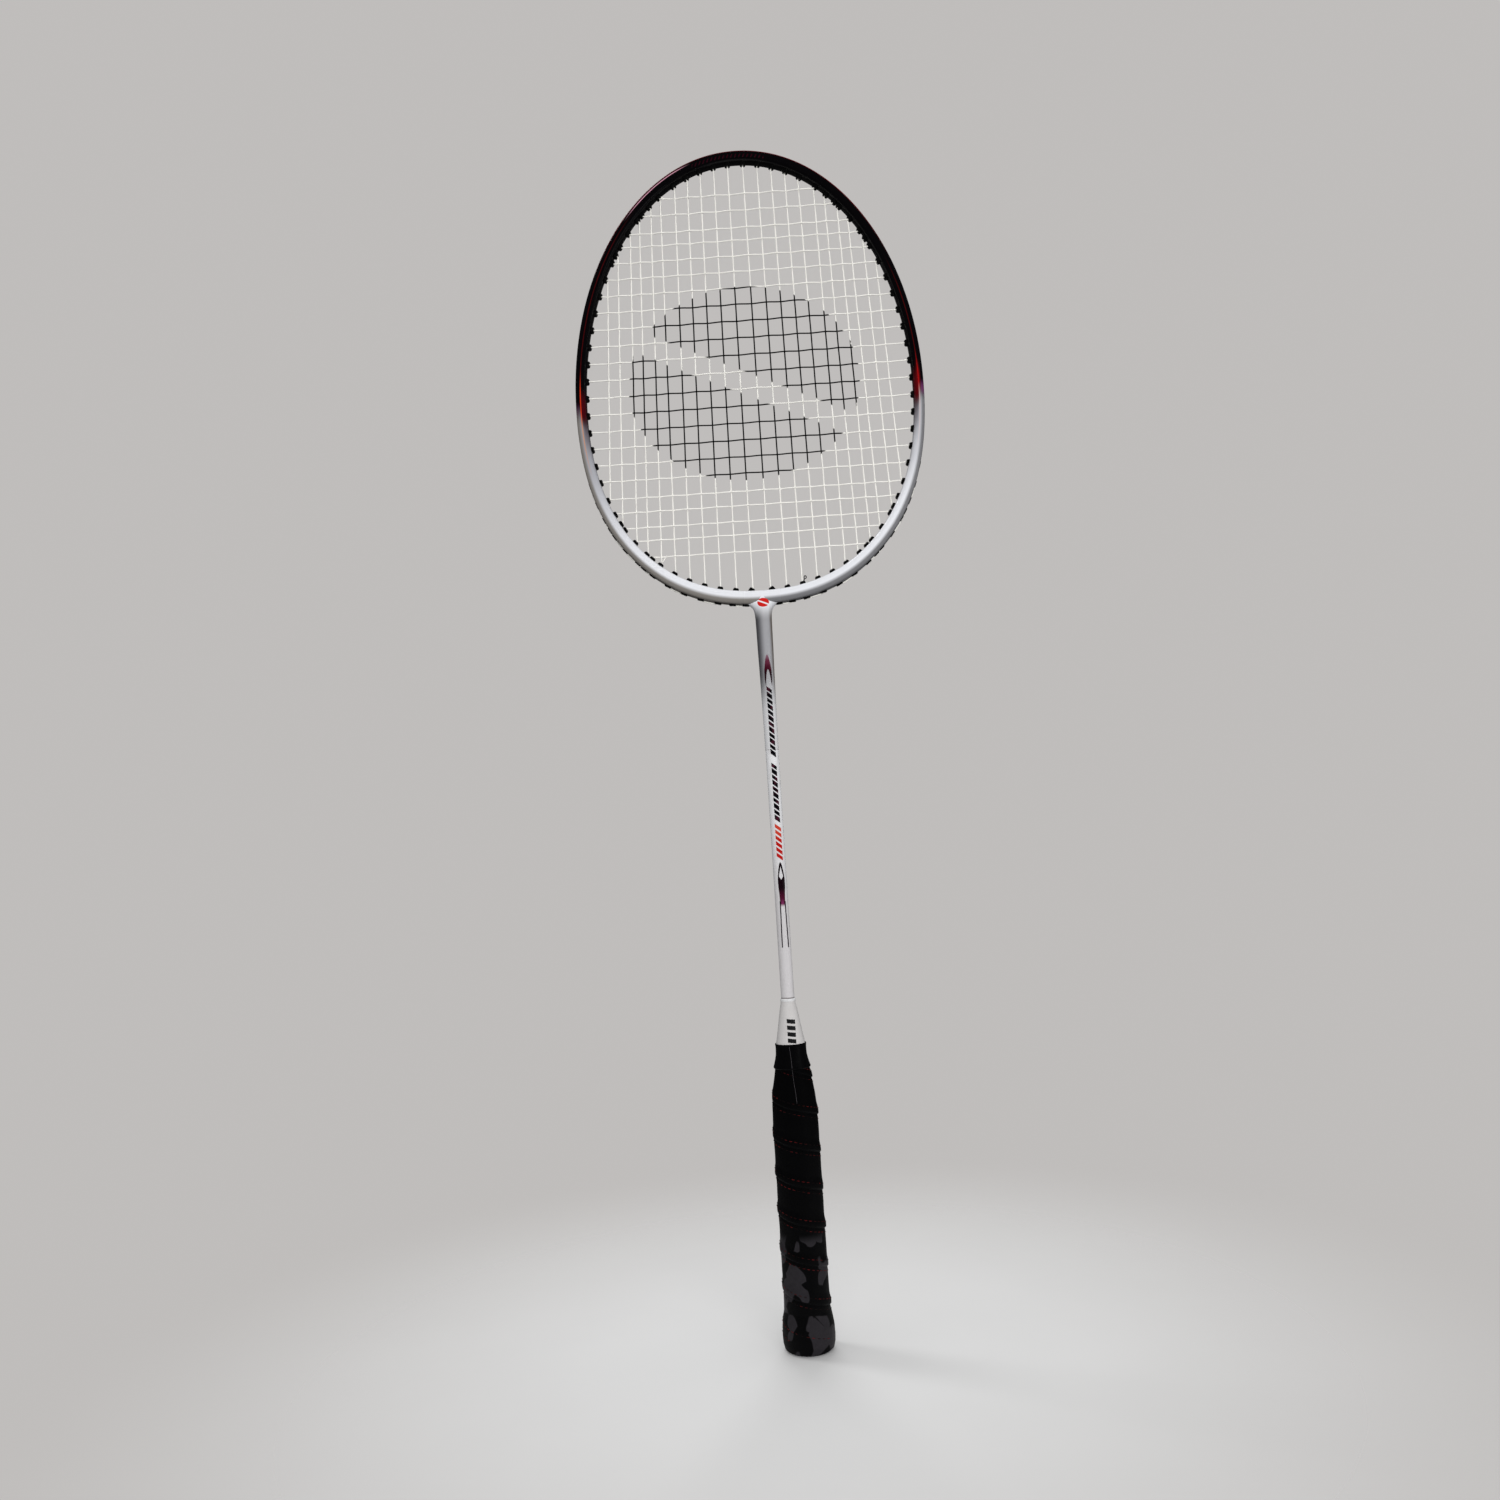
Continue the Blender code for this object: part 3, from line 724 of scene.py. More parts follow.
def lower_flame(colour, front, across, z):
    """A narrow flame with a pale drop near its tip and a lilac foot, which runs out in two thin lines."""
    offset = abs(across)
    flame = arch(across, z, LOWER_FLAME_TIP_Z, 8, 1.78)
    flame = flame * z.step(LOWER_FLAME_FOOT_Z, LOWER_FLAME_FOOT_Z + 2.2)
    flame = flame * (offset - z.step(238, 249).spread(1.42, 1.92)).step(0.10, -0.10)
    drop = ((PALE_DROP_TOP_Z - z) * 0.21).math("MINIMUM", (z - PALE_DROP_FOOT_Z) * 0.6) - offset
    lilac = z.step(240.5, 237) * offset.step(1, 0.4)
    tint = z.step(240, 246).mix((0.055, 0.0015, 0.016), (0.006, 0.0006, 0.003))
    tint = lilac.mix(tint, (0.16, 0.020, 0.08))
    colour = (flame * drop.step(0.08, -0.08) * front).mix(colour, tint)
    lines = abs(offset - z.step(237, 213).spread(1.38, 1.66)).step(0.38, 0.24)
    return (lines * z.band(*THIN_LINES, 0.4) * front).mix(colour, (0.010, 0.004, 0.010))


def leaning_bars(colour, front, across, z, patchy):
    """Two rows of black bars in pairs, with maroon showing through, and one row of red bars."""
    offset = abs(across)
    lean = z + across * MARK_SLANT
    between = (LOWER_ROW[1] + UPPER_ROW[0]) / 2
    start = lean.step(between - 0.4, between + 0.4).spread(LOWER_ROW[0] + ROW_EDGE, UPPER_ROW[0] + ROW_EDGE)
    cell = (lean - start).cell(BLACK_MARK_PITCH)
    bars = cell.band(0.04, 0.50, 0.03).math("MAXIMUM", cell.band(0.58, 0.95, 0.03))
    rows = lean.band(*UPPER_ROW, ROW_EDGE).math("MAXIMUM", lean.band(*LOWER_ROW, ROW_EDGE))
    bars = bars * rows * offset.step(1.52, 1.40) * front
    colour = bars.mix(colour, patchy.mix((0.001, 0.0006, 0.002), (0.045, 0.004, 0.014)))
    bars = (lean - RED_ROW[0]).cell(RED_MARK_PITCH).band(0.14, 0.86, 0.05) * lean.band(*RED_ROW, ROW_EDGE)
    bars = bars * offset.step(1.72, 1.58) * front
    return bars.mix(colour, z.step(271, 276).mix((0.40, 0.004, 0.002), (0.50, 0.040, 0.020)))


def shaft_print(shader, colour, x, y, z):
    """What is printed on the front of the stem and the shaft: two flames, and rows of leaning bars."""
    front = y.step(-0.8, -1.4)
    across = x - PRINT_X
    colour = upper_flame(colour, front, across, z)
    colour = lower_flame(colour, front, across, z)
    return leaning_bars(colour, front, across, z, shader.noise(0.33, 1).step(0.52, 0.66))


def shaft_lacquer():
    """White lacquer, greyer towards the cone, with a print, faint dirt and fine scratches along the shaft."""
    shader = Shader("shaft_lacquer", Specular_IOR_Level=0.15)
    x, y, z = shader.xyz()
    dirt = shader.noise(0.5, 4, (1, 1, 0.25)).step(0.55, 0.8) * 0.7
    colour = dirt.mix(z.step(300, 222).mix(SHAFT_WHITE, (0.53, 0.515, 0.525)), (0.46, 0.44, 0.44))
    # Painted shadow: a dark line on the shaft just above the cone's lip, where the gap between them lies in
    # shade.
    colour = z.band(185.3, 186.3, 0.4).mix(colour, (0.20, 0.18, 0.18))
    shader.set("Base Color", shaft_print(shader, colour, x, y, z))
    shader.set("Roughness", shader.noise(0.8, 3, (4, 4, 0.3)).spread(0.26, 0.42))
    shader.bump(shader.noise(2, 2, (1, 1, 0.2)), 0.01)
    return shader.material


def cone_plastic():
    """Moulded white plastic with faint smudges, a painted highlight on the top of its lip, and a row of short
    black bars on the front.
    """
    shader = Shader("cone_plastic", Specular_IOR_Level=0.45)
    x, y, z = shader.xyz()
    colour = shader.noise(0.22, 4).step(0.5, 0.85).mix((0.515, 0.50, 0.495), (0.45, 0.43, 0.425))
    # Painted highlight: the top of the lip is paler, as if lit from above.
    colour = z.step(183.9, 184.2).mix(colour, (0.62, 0.62, 0.63))
    across = x - CONE_MARK_X
    height = z + across * 0.16 - CONE_MARK_START_Z
    row = height.band(0.1, CONE_MARK_COUNT * CONE_MARK_PITCH - 0.1, 0.1)
    bars = height.cell(CONE_MARK_PITCH).band(0.12, 0.84, 0.06) * row
    bars = bars * abs(across).step(2.35, 2.2) * y.step(-0.8, -1.4)
    shader.set("Base Color", bars.mix(colour, (0.006, 0.006, 0.007)))
    shader.set("Roughness", shader.noise(0.7).spread(0.38, 0.52))
    shader.bump(shader.noise(3, 2), 0.015)
    return shader.material


def string_nylon():
    """Off-white nylon with a fine twist, inked black in a split oval in the middle of the bed."""
    shader = Shader("string_nylon", Roughness=0.5, Specular_IOR_Level=0.25)
    x, _, z = shader.xyz()
    wander = shader.noise(0.35, 2).spread(-1.6, 1.6)
    ink = split_oval((x - INK_X + wander) / INK_HALF_WIDTH, (z - INK_Z) / INK_HALF_HEIGHT, 0.12, 0.012)
    fresh = shader.noise(0.08, 2).mix((0.90, 0.885, 0.84), (0.83, 0.81, 0.76))
    shader.set("Base Color", ink.mix(fresh, (0.0015, 0.0015, 0.002)))
    shader.bump(shader.noise(2.5, 1), 0.01)
    return shader.material


def grommet_nylon():
    """Black nylon, slightly scuffed."""
    shader = Shader("grommet_nylon", Specular_IOR_Level=0.15)
    scuff = shader.noise(1.2).step(0.55, 0.8)
    shader.set("Base Color", scuff.mix((0.0015, 0.0015, 0.0016), (0.006, 0.006, 0.0065)))
    shader.set("Roughness", shader.noise(2).spread(0.34, 0.55))
    shader.bump(shader.noise(4, 2), 0.02)
    return shader.material


def grip_rubber():
    """Black synthetic grip with a fine grain, and dull grey patches towards the butt that are painted
    reflections on the clear film wrapped over it.
    """
    shader = Shader("grip_rubber", Specular_IOR_Level=0.07)
    z = shader.xyz()[2]
    # Painted reflection: grey, glossier patches low on the grip stand in for light reflected by the clear
    # film wrap.
    patches = shader.noise(0.085, 1, (1, 1, 0.62), 0.4) + shader.cells(0.085, "DISTANCE_TO_EDGE") * 0.55
    film_reflection = patches.step(0.592, 0.61) * z.step(63, 57) * shader.noise(0.5, 4).spread(0.6, 1)
    shader.set("Base Color", film_reflection.mix((0.0008, 0.0008, 0.001), (0.021, 0.019, 0.022)))
    shader.set("Roughness", film_reflection.spread(0.62, 0.42))
    shader.bump(shader.cells(1.3) * 0.6 + shader.noise(0.5, 4), 0.07)
    return shader.material


def tape_film():
    """Glossy black tape with faint wrinkles."""
    shader = Shader("tape_film", Specular_IOR_Level=0.08)
    shader.set("Base Color", shader.noise(0.3).mix((0.0007, 0.0007, 0.0009), (0.0018, 0.0018, 0.0021)))
    shader.set("Roughness", shader.noise(0.4, 4).spread(0.34, 0.5))
    shader.bump(shader.noise(0.5, 3, (1, 1, 0.4)), 0.12)
    return shader.material


def crease_film():
    """The edge of the clear film that covers the top of the grip: its patchy grey is a painted highlight
    along the crease.
    """
    shader = Shader("crease_film", Roughness=0.35)
    shader.set("Base Color", shader.noise(0.8).mix((0.004, 0.004, 0.004), (0.10, 0.09, 0.10)))
    return shader.material


def stitch_thread():
    """Dull red thread, darkened with wear."""
    shader = Shader("stitch_thread", Roughness=0.8, Specular_IOR_Level=0.2)
    faded = shader.noise(0.16, 2).step(0.44, 0.64)
    shader.set("Base Color", faded.mix((0.004, 0.001, 0.001), (0.085, 0.004, 0.004)))
    return shader.material


def butt_plastic():
    """Black moulded plastic with a fine spark texture."""
    shader = Shader("butt_plastic")
    shader.set("Base Color", shader.noise(0.6).mix((0.006, 0.006, 0.006), (0.013, 0.013, 0.013)))
    shader.set("Roughness", shader.noise(1).spread(0.42, 0.6))
    shader.bump(shader.cells(2.2), 0.05)
    return shader.material


def core_wood():
    """Bare limewood with a straight grain."""
    shader = Shader("core_wood", Roughness=0.65)
    grain = shader.noise(0.9, 4, (1, 1, 0.05))
    shader.set("Base Color", grain.mix((0.62, 0.42, 0.24), (0.44, 0.27, 0.14)))
    shader.bump(grain, 0.05)
    return shader.material


# ---------------- frame and throat


def tube_section(steps=64):
    """The frame tube as (out, y) points: round inside, squarer outside, with a string groove out there."""
    lip = math.asin(((GROOVE_HALF_WIDTH + 0.3) / TUBE_DEPTH) ** (TUBE_OUTER_POWER / 2))
    points = []
    for k in range(steps + 1):
        angle = lip + (TURN - 2 * lip) * k / steps
        sine, cosine = math.sin(angle), math.cos(angle)
        power = TUBE_OUTER_POWER if cosine > 0 else TUBE_INNER_POWER
        out = TUBE_REACH * signed_power(cosine, 2 / power)
        points.append((out, TUBE_DEPTH * signed_power(sine, 2 / power)))
    wall = GROOVE_HALF_WIDTH
    side = [(2.82, wall + 0.1), (2.6, wall), (GROOVE_FLOOR + 0.15, wall), (GROOVE_FLOOR, wall - 0.15)]
    points += [(out, -y) for out, y in side]
    points += [(out, y) for out, y in reversed(side)]
    return points


def add_tube(shape, start, end, steps):
    """The frame tube along the hoop, with the distance out of its middle line kept for the paint."""
    section = tube_section()
    layer = shape.verts.layers.float.new("out")
    rings = []
    for k in range(steps + 1):
        turn = start + (end - start) * k / steps
        middle, normal = hoop_point(turn), hoop_normal(turn)
        swell = 1 + LOW_SWELL * lowness(turn)
        ring = []
        for out, y in section:
            ring.append(middle + normal * (out * swell if out > 0 else out) + Vector((0, y, 0)))
        rings.append(ring)
    for ring in add_skin(shape, rings):
        for vert, (out, _) in zip(ring, section):
            vert[layer] = out


def make_frame_tube(material):
    """The hoop, from one end at the throat round to the other."""
    shape = bmesh.new()
    add_tube(shape, -FRAME_END_TURN, FRAME_END_TURN, 400)
    show(finish_mesh("frame_tube", shape, material, 30), "frame_paint", "head_frame")


def make_throat(material):
    """The crossbar between the frame's ends, and the stem that flares into it, whose "out" stays 0."""
    shape = bmesh.new()
    add_tube(shape, FRAME_END_TURN, 1 - FRAME_END_TURN, 24)
    rings = []
    levels = 130
    for k in range(levels + 1):
        z = STEM_FOOT_Z + (STEM_TOP_Z - STEM_FOOT_Z) * k / levels
        wide, deep = along_line(z, STEM_HALF_WIDTHS), along_line(z, STEM_HALF_DEPTHS)
        rings.append([around_z(TURN * i / 64, z, wide, deep) for i in range(64)])
    add_skin(shape, rings)
    show(finish_mesh("throat", shape, material, 35), "throat_paint", "t_joint")


def make_shaft(material):
    """The shaft from the stem's foot down into the cone."""
    top = STEM_FOOT_Z - 0.1
    corners = [
        (0.5, top), (SHAFT_RADIUS + 0.02, top), (SHAFT_RADIUS, 320), (SHAFT_RADIUS, SHAFT_FOOT_Z),
        (0.5, SHAFT_FOOT_Z),
    ]
    profile = spaced(rounded(corners, 0.15), 12)
    show(turned("shaft_tube", profile, 64, material), "shaft_lacquer", "shaft")


def make_cone(material):
    """The cone, with a small raised lip at its top and a soft step where it meets the tape."""
    profile = [
        (3.66, 181), (3.66, 185.5), (4.05, 185.5), (4.25, 184.9), (4, 184), (4.05, 183.4), (4.5, 181),
        (5.3, 176.7), (6.6, 168.6), (7.95, 161.3), (7.95, 159.5), (6.4, 159.5), (4.6, 176), (3.9, 181),
    ]
    show(turned("cone", rounded(profile, 0.3), 80, material, closed=True), "cone_plastic", "cone_cap")


# ---------------- grip


def seam_height(angle, number):
    """Where lap number crosses an angle, which counts from the left by way of the front."""
    return LAP_LEFT_Z - LAP_PITCH * (angle / TURN + number)


def seam_distance(angle, z):
    """How far above the nearest lap a place on the grip is."""
    turns = (z - seam_height(angle, 0)) / LAP_PITCH
    return (turns - round(turns)) * LAP_PITCH


def grip_radius(angle, z):
    """The wound band: eight soft corners, a step at each lap, and the swells of a hand-wound grip."""
    radius = along_line(z, GRIP_RADII)
    above = seam_distance(angle, z)
    around = Vector((math.cos(angle), math.sin(angle), z / 14))
    uneven = noise.noise(around * 1.7 + Vector((3.1, 0.4, 7.7)))
    lap = (0.52 + 0.35 * uneven) * smooth(above, -0.55, 0.15) * (1 - smooth(above, 1.4, 6.5))
    crease = -0.20 * math.exp(-(((above + 0.85) / 0.5) ** 2))
    on_band = smooth(z, 12, 20) * (1 - smooth(z, TAPE_FOOT_Z, TAPE_FOOT_Z + 2.5))
    swell = 0.16 * noise.noise(Vector((2.2 * math.cos(angle), 2.2 * math.sin(angle), z / 7)))
    corner = 0.10 * math.cos(8 * angle + math.pi) * smooth(z, 20, 40)
    return radius + (lap + crease) * on_band + swell * smooth(z, 3, 10) + corner


def make_grip(material):
    """The wound band from the butt to under the tape."""
    foot, top, levels = GRIP_RADII[0][0], GRIP_RADII[-1][0], 420
    profile = [(1, foot + (top - foot) * k / levels) for k in range(levels + 1)]
    grip = turned(
        "grip_band", profile, 144, material, lambda angle, _, z: grip_radius(angle, z), sharp_degrees=60
    )
    show(grip, "grip_rubber", "grip_wrap")


def stitch_path(start, number, offset):
    """One stitch along a lap: it comes out of the band, runs on top of it and goes in again."""
    path = []
    for step, lift in enumerate((-0.12, 0.10, 0.10, -0.12)):
        angle = start + TURN / STITCHES_EACH_LAP * STITCH_SHARE * step / 3
        z = seam_height(angle, number) + offset
        path.append(around_z(angle, z, grip_radius(angle, z) + lift))
    return path


def make_stitches(material):
    """A row of stitches on each side of every lap."""
    stitches = []
    for number in range(LAP_COUNT):
        for offset in (STITCH_OFFSET, -STITCH_OFFSET):
            for k in range(STITCHES_EACH_LAP):
                path = stitch_path(TURN * k / STITCHES_EACH_LAP, number, offset)
                if 8 < path[0][2] < 150:
                    stitches.append(path)
    show(tube("grip_stitches", stitches, STITCH_RADIUS, material, 1), "grip_rubber")


def tape_radius(angle, radius, z):
    """The tape's shallow waves."""
    wave = noise.noise(Vector((1.6 * math.cos(angle), 1.6 * math.sin(angle), z / 5)))
    return radius + 0.12 * wave


def make_tape(material):
    """The finishing tape, whose two edges stand a little proud."""
    outside = [
        (8.05, 161.3), (8.3, 161.6), (8.5, 161.1), (8.35, 160), (8.35, 158), (8.5, 155.5), (9.1, 152.6),
        (9.75, 150.2), (10.1, 149.2), (10.1, 148.7), (9.8, 148.3), (9.3, 148.4),
    ]
    inside = [(8.55, 152), (8.05, 155.5), (8.05, 160)]
    profile = rounded(outside + inside, 0.25)
    show(turned("finishing_tape", profile, 96, material, tape_radius, closed=True), "tape_film", "grip_tape")


def make_film_crease(material):
    """A thin raised crease down the front, from the tape to the shoulder of the grip."""
    path = []
    front = TURN / 4
    for k in range(30):
        share = k / 29
        z = CREASE_TOP_Z - CREASE_LENGTH * share
        x = -0.9 + 2.2 * share + 0.12 * math.sin(9 * share)
        radius = grip_radius(front, z) if z < TAPE_FOOT_Z else along_line(z, CREASE_RADII)
        path.append(around_z(front + x / radius, z, radius + 0.02))
    show(tube("film_crease", [path], CREASE_RADIUS, material, 1), "grip_rubber")


def make_butt_cap(material):
    """The end cap, with a raised rim and two shallow rings on its underside."""
    profile = [
        (0.6, 2.9), (12.4, 2.9), (12.7, 1.6), (12.45, 0.5), (11.6, 0.02), (9.6, 0.02), (9.3, 0.45),
        (6.2, 0.45), (5.9, 0.15), (4.9, 0.15), (4.6, 0.45), (0.6, 0.45),
    ]
    cap = turned("butt_end", rounded(profile, 0.2), 96, material, sharp_degrees=35)
    show(cap, "butt_plastic", "butt_cap")


# ---------------- strings


def weave_path(start, end, crossings, end_side):
    """A string from hole to hole: crossings are (share of the way, side), and it goes over and under."""
    stops = [(0, end_side)] + sorted(crossings) + [(1, end_side)]
    path = []
    for (first, before), (second, after) in zip(stops, stops[1:]):
        for step in range(WEAVE_STEPS):
            share = first + (second - first) * step / WEAVE_STEPS
            point = start.lerp(end, share)
            blend = (1 - math.cos(math.pi * step / WEAVE_STEPS)) / 2
            point.y = WEAVE_DEPTH * (before + (after - before) * blend)
            path.append(point)
    last = end.copy()
    last.y = WEAVE_DEPTH * end_side
    return path + [last]


def groove_run(first, second, side):
    """The string outside the frame between two holes, with round bends at both ends."""
    start, end = first.outer_turn(), second.outer_turn()
    count = max(3, round(hoop_length(start, end) / 2))
    y = WEAVE_DEPTH * side
    path = [first.at(1.6, y), first.at(run_level(start) - 0.45, y)]
    for k in range(count + 1):
        share = (0.03 + k) / (count + 0.06)
        turn = start + (end - start) * share
        path.append(hoop_offset(turn, run_level(turn), y))
    return path + [second.at(run_level(end) - 0.45, y), second.at(1.6, y)]


def string_tail(hole, turns, side):
    """The last few millimetres of a string, outside the frame past its hole."""
    turn = hole.outer_turn()
    y = WEAVE_DEPTH * side
    return [hole.at(run_level(turn) - 0.3, y), hoop_offset(turn + turns, run_level(turn), y)]


def can_cross(share):
    """Whether another string can cross at this share of the way."""
    return CROSSING_SHARES[0] < share < CROSSING_SHARES[1]


def over_or_under(number, row):
    """1 where a main passes in front of a cross, and -1 where it passes behind."""
    return 1 if (number + row) % 2 else -1


def main_route(ends, heights):
    """The main string's path, up and down from left to right, and each run as its (start, end)."""
    columns = [("left", index) for index in reversed(range(MAINS_EACH_SIDE))]
    columns += [("right", index) for index in range(MAINS_EACH_SIDE)]
    spans = []
    for number, (side, index) in enumerate(columns):
        top, bottom = ends[side]["top", index], ends[side]["bottom", index]
        spans.append((bottom, top) if number % 2 == 0 else (top, bottom))
    path = list(reversed(string_tail(spans[0][0], -TAIL_TURNS, 1)))
    lines = []
    for number, (entry, leave) in enumerate(spans):
        start, end = entry.at(-MOUTH), leave.at(-MOUTH)
        lines.append((start, end))
        crossings = []
        for row, z in enumerate(heights):
            share = (z - start.z) / (end.z - start.z)
            if can_cross(share):
                crossings.append((share, over_or_under(number, row)))
        if number:
            path += groove_run(spans[number - 1][1], entry, 1)
        path += weave_path(start, end, crossings, 1)
    return path + string_tail(spans[-1][1], TAIL_TURNS, 1), lines


def cross_route(ends, heights, main_lines):
    """The cross string's path, to and fro from the top down."""
    path = []
    previous = None
    for row in range(CROSS_COUNT):
        left, right = ends["left"]["cross", row], ends["right"]["cross", row]
        entry, leave = (left, right) if row % 2 == 0 else (right, left)
        start, end = entry.at(-MOUTH), leave.at(-MOUTH)
        crossings = []
        for number, (low, high) in enumerate(main_lines):
            up = (heights[row] - low.z) / (high.z - low.z)
            if can_cross(up):
                x = low.x + (high.x - low.x) * up
                crossings.append(((x - start.x) / (end.x - start.x), -over_or_under(number, row)))
        if previous:
            path += groove_run(previous, entry, -1)
        else:
            path += list(reversed(string_tail(entry, TAIL_TURNS, -1)))
        path += weave_path(start, end, crossings, -1)
        previous = leave
    return path + string_tail(previous, TAIL_TURNS, -1)


def make_strings(layout, material):
    """The main and the cross string, each in one piece, woven over and under each other."""
    ends = {side: of_end for side, (_, of_end) in layout.items()}
    heights = [ends["right"]["cross", row].at(-MOUTH).z for row in range(CROSS_COUNT)]
    main_path, main_lines = main_route(ends, heights)
    show(tube("main_string_woven", [main_path], STRING_RADIUS, material), "main_nylon", "main_string")
    cross_path = cross_route(ends, heights, main_lines)
    show(tube("cross_string_woven", [cross_path], STRING_RADIUS, material), "cross_nylon", "cross_string")


def knot_path(middle, size):
    """A trefoil knot."""
    path = []
    for k in range(49):
        t = TURN * k / 48
        x = math.sin(t) + 2 * math.sin(2 * t)
        z = math.cos(t) - 2 * math.cos(2 * t)
        path.append(middle + Vector((x, -math.sin(3 * t), z)) * size)
    return path


def make_knots(layout, pale, dark):
    """The strings' ends: a dark knot low on the right, a pale tail low on the left, a knot near the top."""
    ends = {side: of_end for side, (_, of_end) in layout.items()}
    low_right = ends["right"]["bottom", 2].at(-MOUTH)
    loop = [low_right + Vector((0.7, -1, -0.4)), low_right + Vector((1.2, -1.3, 0.7))]
    for k in range(15):
        angle = -0.35 + 1.7 * math.pi * k / 14
        loop.append(low_right + Vector((1.75 - 0.62 * math.cos(angle), -1.4, 2 + 0.8 * math.sin(angle))))
    show(tube("knot_low_right", [loop], 0.28, dark), "grommet_nylon")
    low_left = ends["left"]["bottom", 6].at(-MOUTH)
    tail = []
    for k in range(6):
        tail.append(low_left + Vector((0.3 + 0.62 * k, -0.6 - 0.12 * k, 0.3 + 0.85 * k - 0.02 * k * k)))
    show(tube("tail_low_left", [tail], 0.3, pale), "main_nylon")
    top_left = ends["left"]["cross", 0].at(-MOUTH)
    small = knot_path(top_left + Vector((1, -0.7, 0.5)), 0.24)
    show(tube("knot_top_left", [small], 0.24, pale), "cross_nylon")


# ---------------- grommets


def add_collar(shape, hole):
    """The collar inside the hoop: a block that tapers to the string, with the barrel's bore through it."""
    axis = (hole.at(0) - hole.at(-MOUTH)).normalized()
    depth = Vector((0, 1, 0))
    across = depth.cross(axis)
    rings = []
    for out, half_length, half_depth in COLLAR_LEVELS:
        middle = hole.at(out)
        ring = []
        for k in range(24):
            angle = TURN * k / 24
            u = half_length * signed_power(math.cos(angle), COLLAR_POWER)
            v = half_depth * signed_power(math.sin(angle), COLLAR_POWER)
            ring.append(middle + across * u + depth * v)
        rings.append(ring)
    add_skin(shape, rings)


def add_pad(shape, hole):
    """The head outside the frame: a rounded block across the groove, prouder round the bottom of the hoop."""
    turn = hole.outer_turn()
    proud = PAD_LEVEL + LOW_PAD_RISE * lowness(turn)
    axes = Matrix((hoop_tangent(turn), Vector((0, 1, 0)), hoop_normal(turn)))
    matrix = axes.transposed().to_4x4()
    matrix.translation = hoop_offset(turn, (proud + PAD_FOOT) / 2)
    size = Matrix.Diagonal((PAD_LENGTH, PAD_WIDTH, proud - PAD_FOOT, 1))
    made = bmesh.ops.create_cube(shape, size=1, matrix=matrix @ size)
    edges = list({edge for vert in made["verts"] for edge in vert.link_edges})
    bmesh.ops.bevel(shape, geom=edges, offset=PAD_ROUNDING, segments=2, profile=0.6, affect="EDGES")


def make_grommets(side, holes, material):
    """The grommets of one side, in as many pieces as the model has strips there."""
    size = len(holes) / STRIPS_EACH_SIDE
    for number in range(STRIPS_EACH_SIDE):
        shape = bmesh.new()
        for hole in holes[round(number * size):round((number + 1) * size)]:
            add_collar(shape, hole)
            add_pad(shape, hole)
        name = f"grommets_{side}_{number + 1}"
        show(finish_mesh(f"{name}_fine", shape, material, 50), "grommet_nylon", name)


# ---------------- camera, light and floor


def make_camera():
    """The camera stands in front, below mid height, and is rolled so that the racket leans in the picture."""
    forward = (CAMERA_TARGET - CAMERA_PLACE).normalized()
    right = forward.cross(Vector((0, 0, 1))).normalized()
    up = right.cross(forward)
    roll = math.radians(CAMERA_ROLL_DEGREES)
    rolled_right = right * math.cos(roll) + up * math.sin(roll)
    rolled_up = up * math.cos(roll) - right * math.sin(roll)
    data = bpy.data.cameras.new("camera")
    data.lens = CAMERA_LENS
    camera = new_object("camera", data)
    matrix = Matrix((rolled_right, rolled_up, -forward)).transposed().to_4x4()
    matrix.translation = CAMERA_PLACE * MM
    camera.matrix_world = matrix
    bpy.context.scene.camera = camera


def make_light(name, place, target, size, power, soft=False):
    """An area light, in metres. A soft one makes no highlight on the gloss."""
    data = bpy.data.lights.new(name, "AREA")
    data.shape = "RECTANGLE"
    data.size, data.size_y = size
    data.energy = power
    light = new_object(name, data)
    light.location = place
    light.rotation_euler = (Vector(target) - Vector(place)).to_track_quat("-Z", "Y").to_euler()
    light.visible_camera = False
    light.visible_glossy = not soft


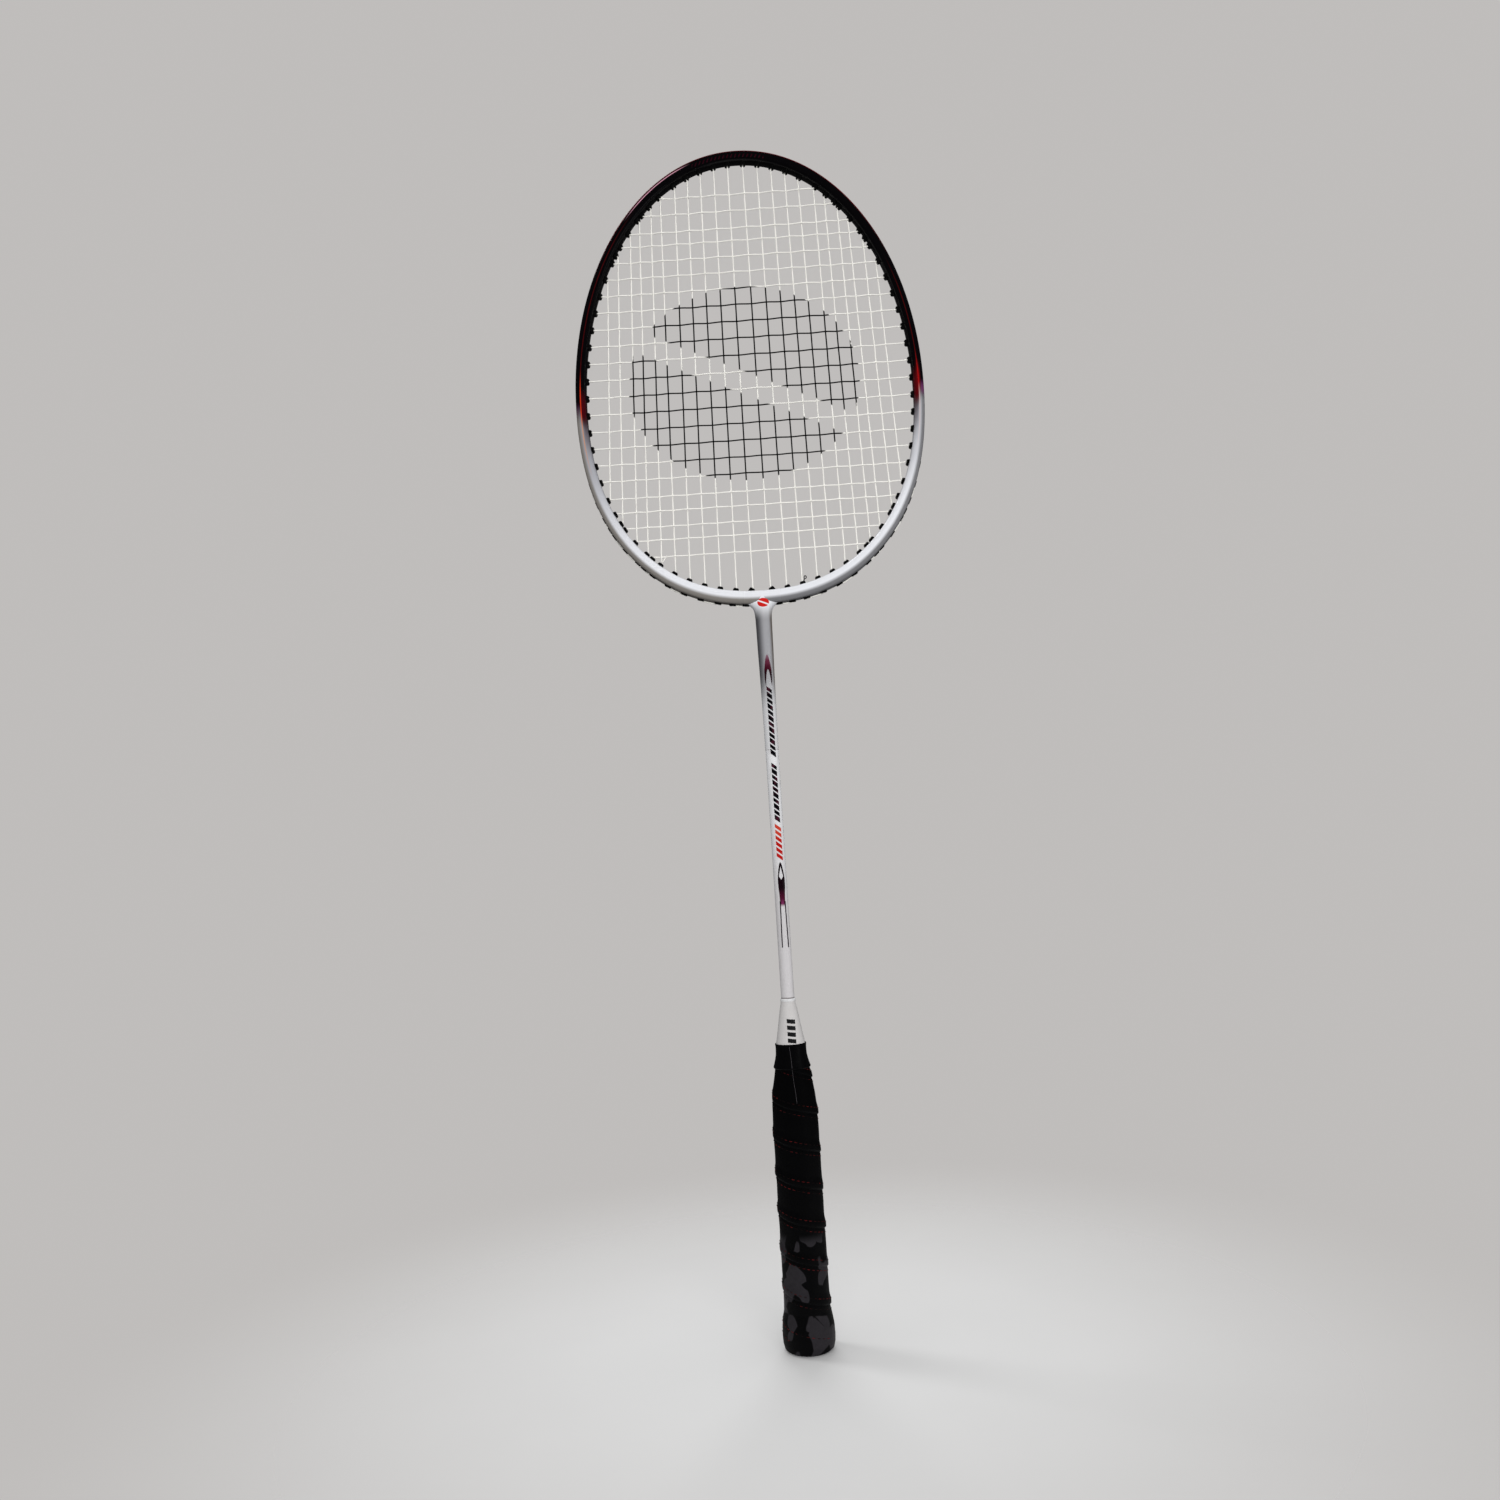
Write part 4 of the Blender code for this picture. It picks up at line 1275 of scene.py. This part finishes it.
def make_world():
    """A grey surround, brighter above than below, and dark in reflections so that gloss black stays deep."""
    world = bpy.data.worlds.new("studio")
    world.use_nodes = True
    bpy.context.scene.world = world
    tree = world.node_tree
    output = tree.nodes["World Output"]
    path = tree.nodes.new("ShaderNodeLightPath")

    def background(colour):
        node = tree.nodes.new("ShaderNodeBackground")
        node.inputs["Color"].default_value = (*colour, 1)
        return node.outputs[0]

    def choose(share, usual, special):
        node = tree.nodes.new("ShaderNodeMixShader")
        tree.links.new(share, node.inputs[0])
        tree.links.new(usual, node.inputs[1])
        tree.links.new(special, node.inputs[2])
        return node.outputs[0]

    direction = tree.nodes.new("ShaderNodeSeparateXYZ")
    tree.links.new(tree.nodes.new("ShaderNodeTexCoord").outputs["Generated"], direction.inputs[0])
    height = tree.nodes.new("ShaderNodeMapRange")
    tree.links.new(direction.outputs["Z"], height.inputs["Value"])
    height.inputs["From Min"].default_value = -0.35
    height.inputs["From Max"].default_value = 0.25
    light = choose(height.outputs[0], background((SURROUND_BELOW,) * 3), background((SURROUND_ABOVE,) * 3))
    light = choose(path.outputs["Is Glossy Ray"], light, background((SURROUND_REFLECTION,) * 3))
    light = choose(path.outputs["Is Camera Ray"], light, background(BACKDROP_GREY))
    tree.links.new(light, output.inputs["Surface"])


def make_floor():
    """A pale round floor that fades into the surround before its edge."""
    shape = bmesh.new()
    bmesh.ops.create_circle(shape, cap_ends=True, segments=96, radius=FLOOR_RADIUS)
    shader = Shader("floor", Roughness=0.9, Specular_IOR_Level=0.1)
    shader.set("Base Color", shader.noise(0.01).mix((0.60, 0.60, 0.60), (0.64, 0.64, 0.64)))
    distance = shader.node("ShaderNodeVectorMath", {0: shader.point()}, "Value", operation="LENGTH")
    shader.set("Alpha", distance.step(420, 40))
    finish_mesh("floor", shape, shader.material)


def make_stage():
    """The surround, the floor and four lights."""
    make_world()
    make_floor()
    make_light("front", (0.3, -1.7, 0.52), LIGHT_TARGET, (1.4, 0.9), 23, soft=True)
    make_light("back", (0, 1.5, 1.3), LIGHT_TARGET, (1.2, 1), 15, soft=True)
    make_light("rim", (-0.75, 0.40, 1.75), (-0.05, 0, 0.55), (0.25, 0.7), 6)
    make_light("side", (1.1, -0.8, 0.25), LIGHT_TARGET, (0.25, 0.9), 1.2)


# ---------------- the racket

make_camera()
make_stage()

hole_layout = {side: lay_out_holes(side) for side in SIDES}
nylon = string_nylon()
black_nylon = grommet_nylon()

make_frame_tube(frame_paint())
make_throat(throat_paint())
make_shaft(shaft_lacquer())
make_cone(cone_plastic())
make_grip(grip_rubber())
make_stitches(stitch_thread())
make_tape(tape_film())
make_film_crease(crease_film())
make_butt_cap(butt_plastic())
make_strings(hole_layout, nylon)
make_knots(hole_layout, nylon, black_nylon)
for side_name, (side_holes, _) in hole_layout.items():
    make_grommets(side_name, side_holes, black_nylon)

# The core needs no finer shape than the model's own.
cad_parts["handle_core"].data.materials[0] = core_wood()

bpy.context.scene.view_settings.view_transform = "Standard"
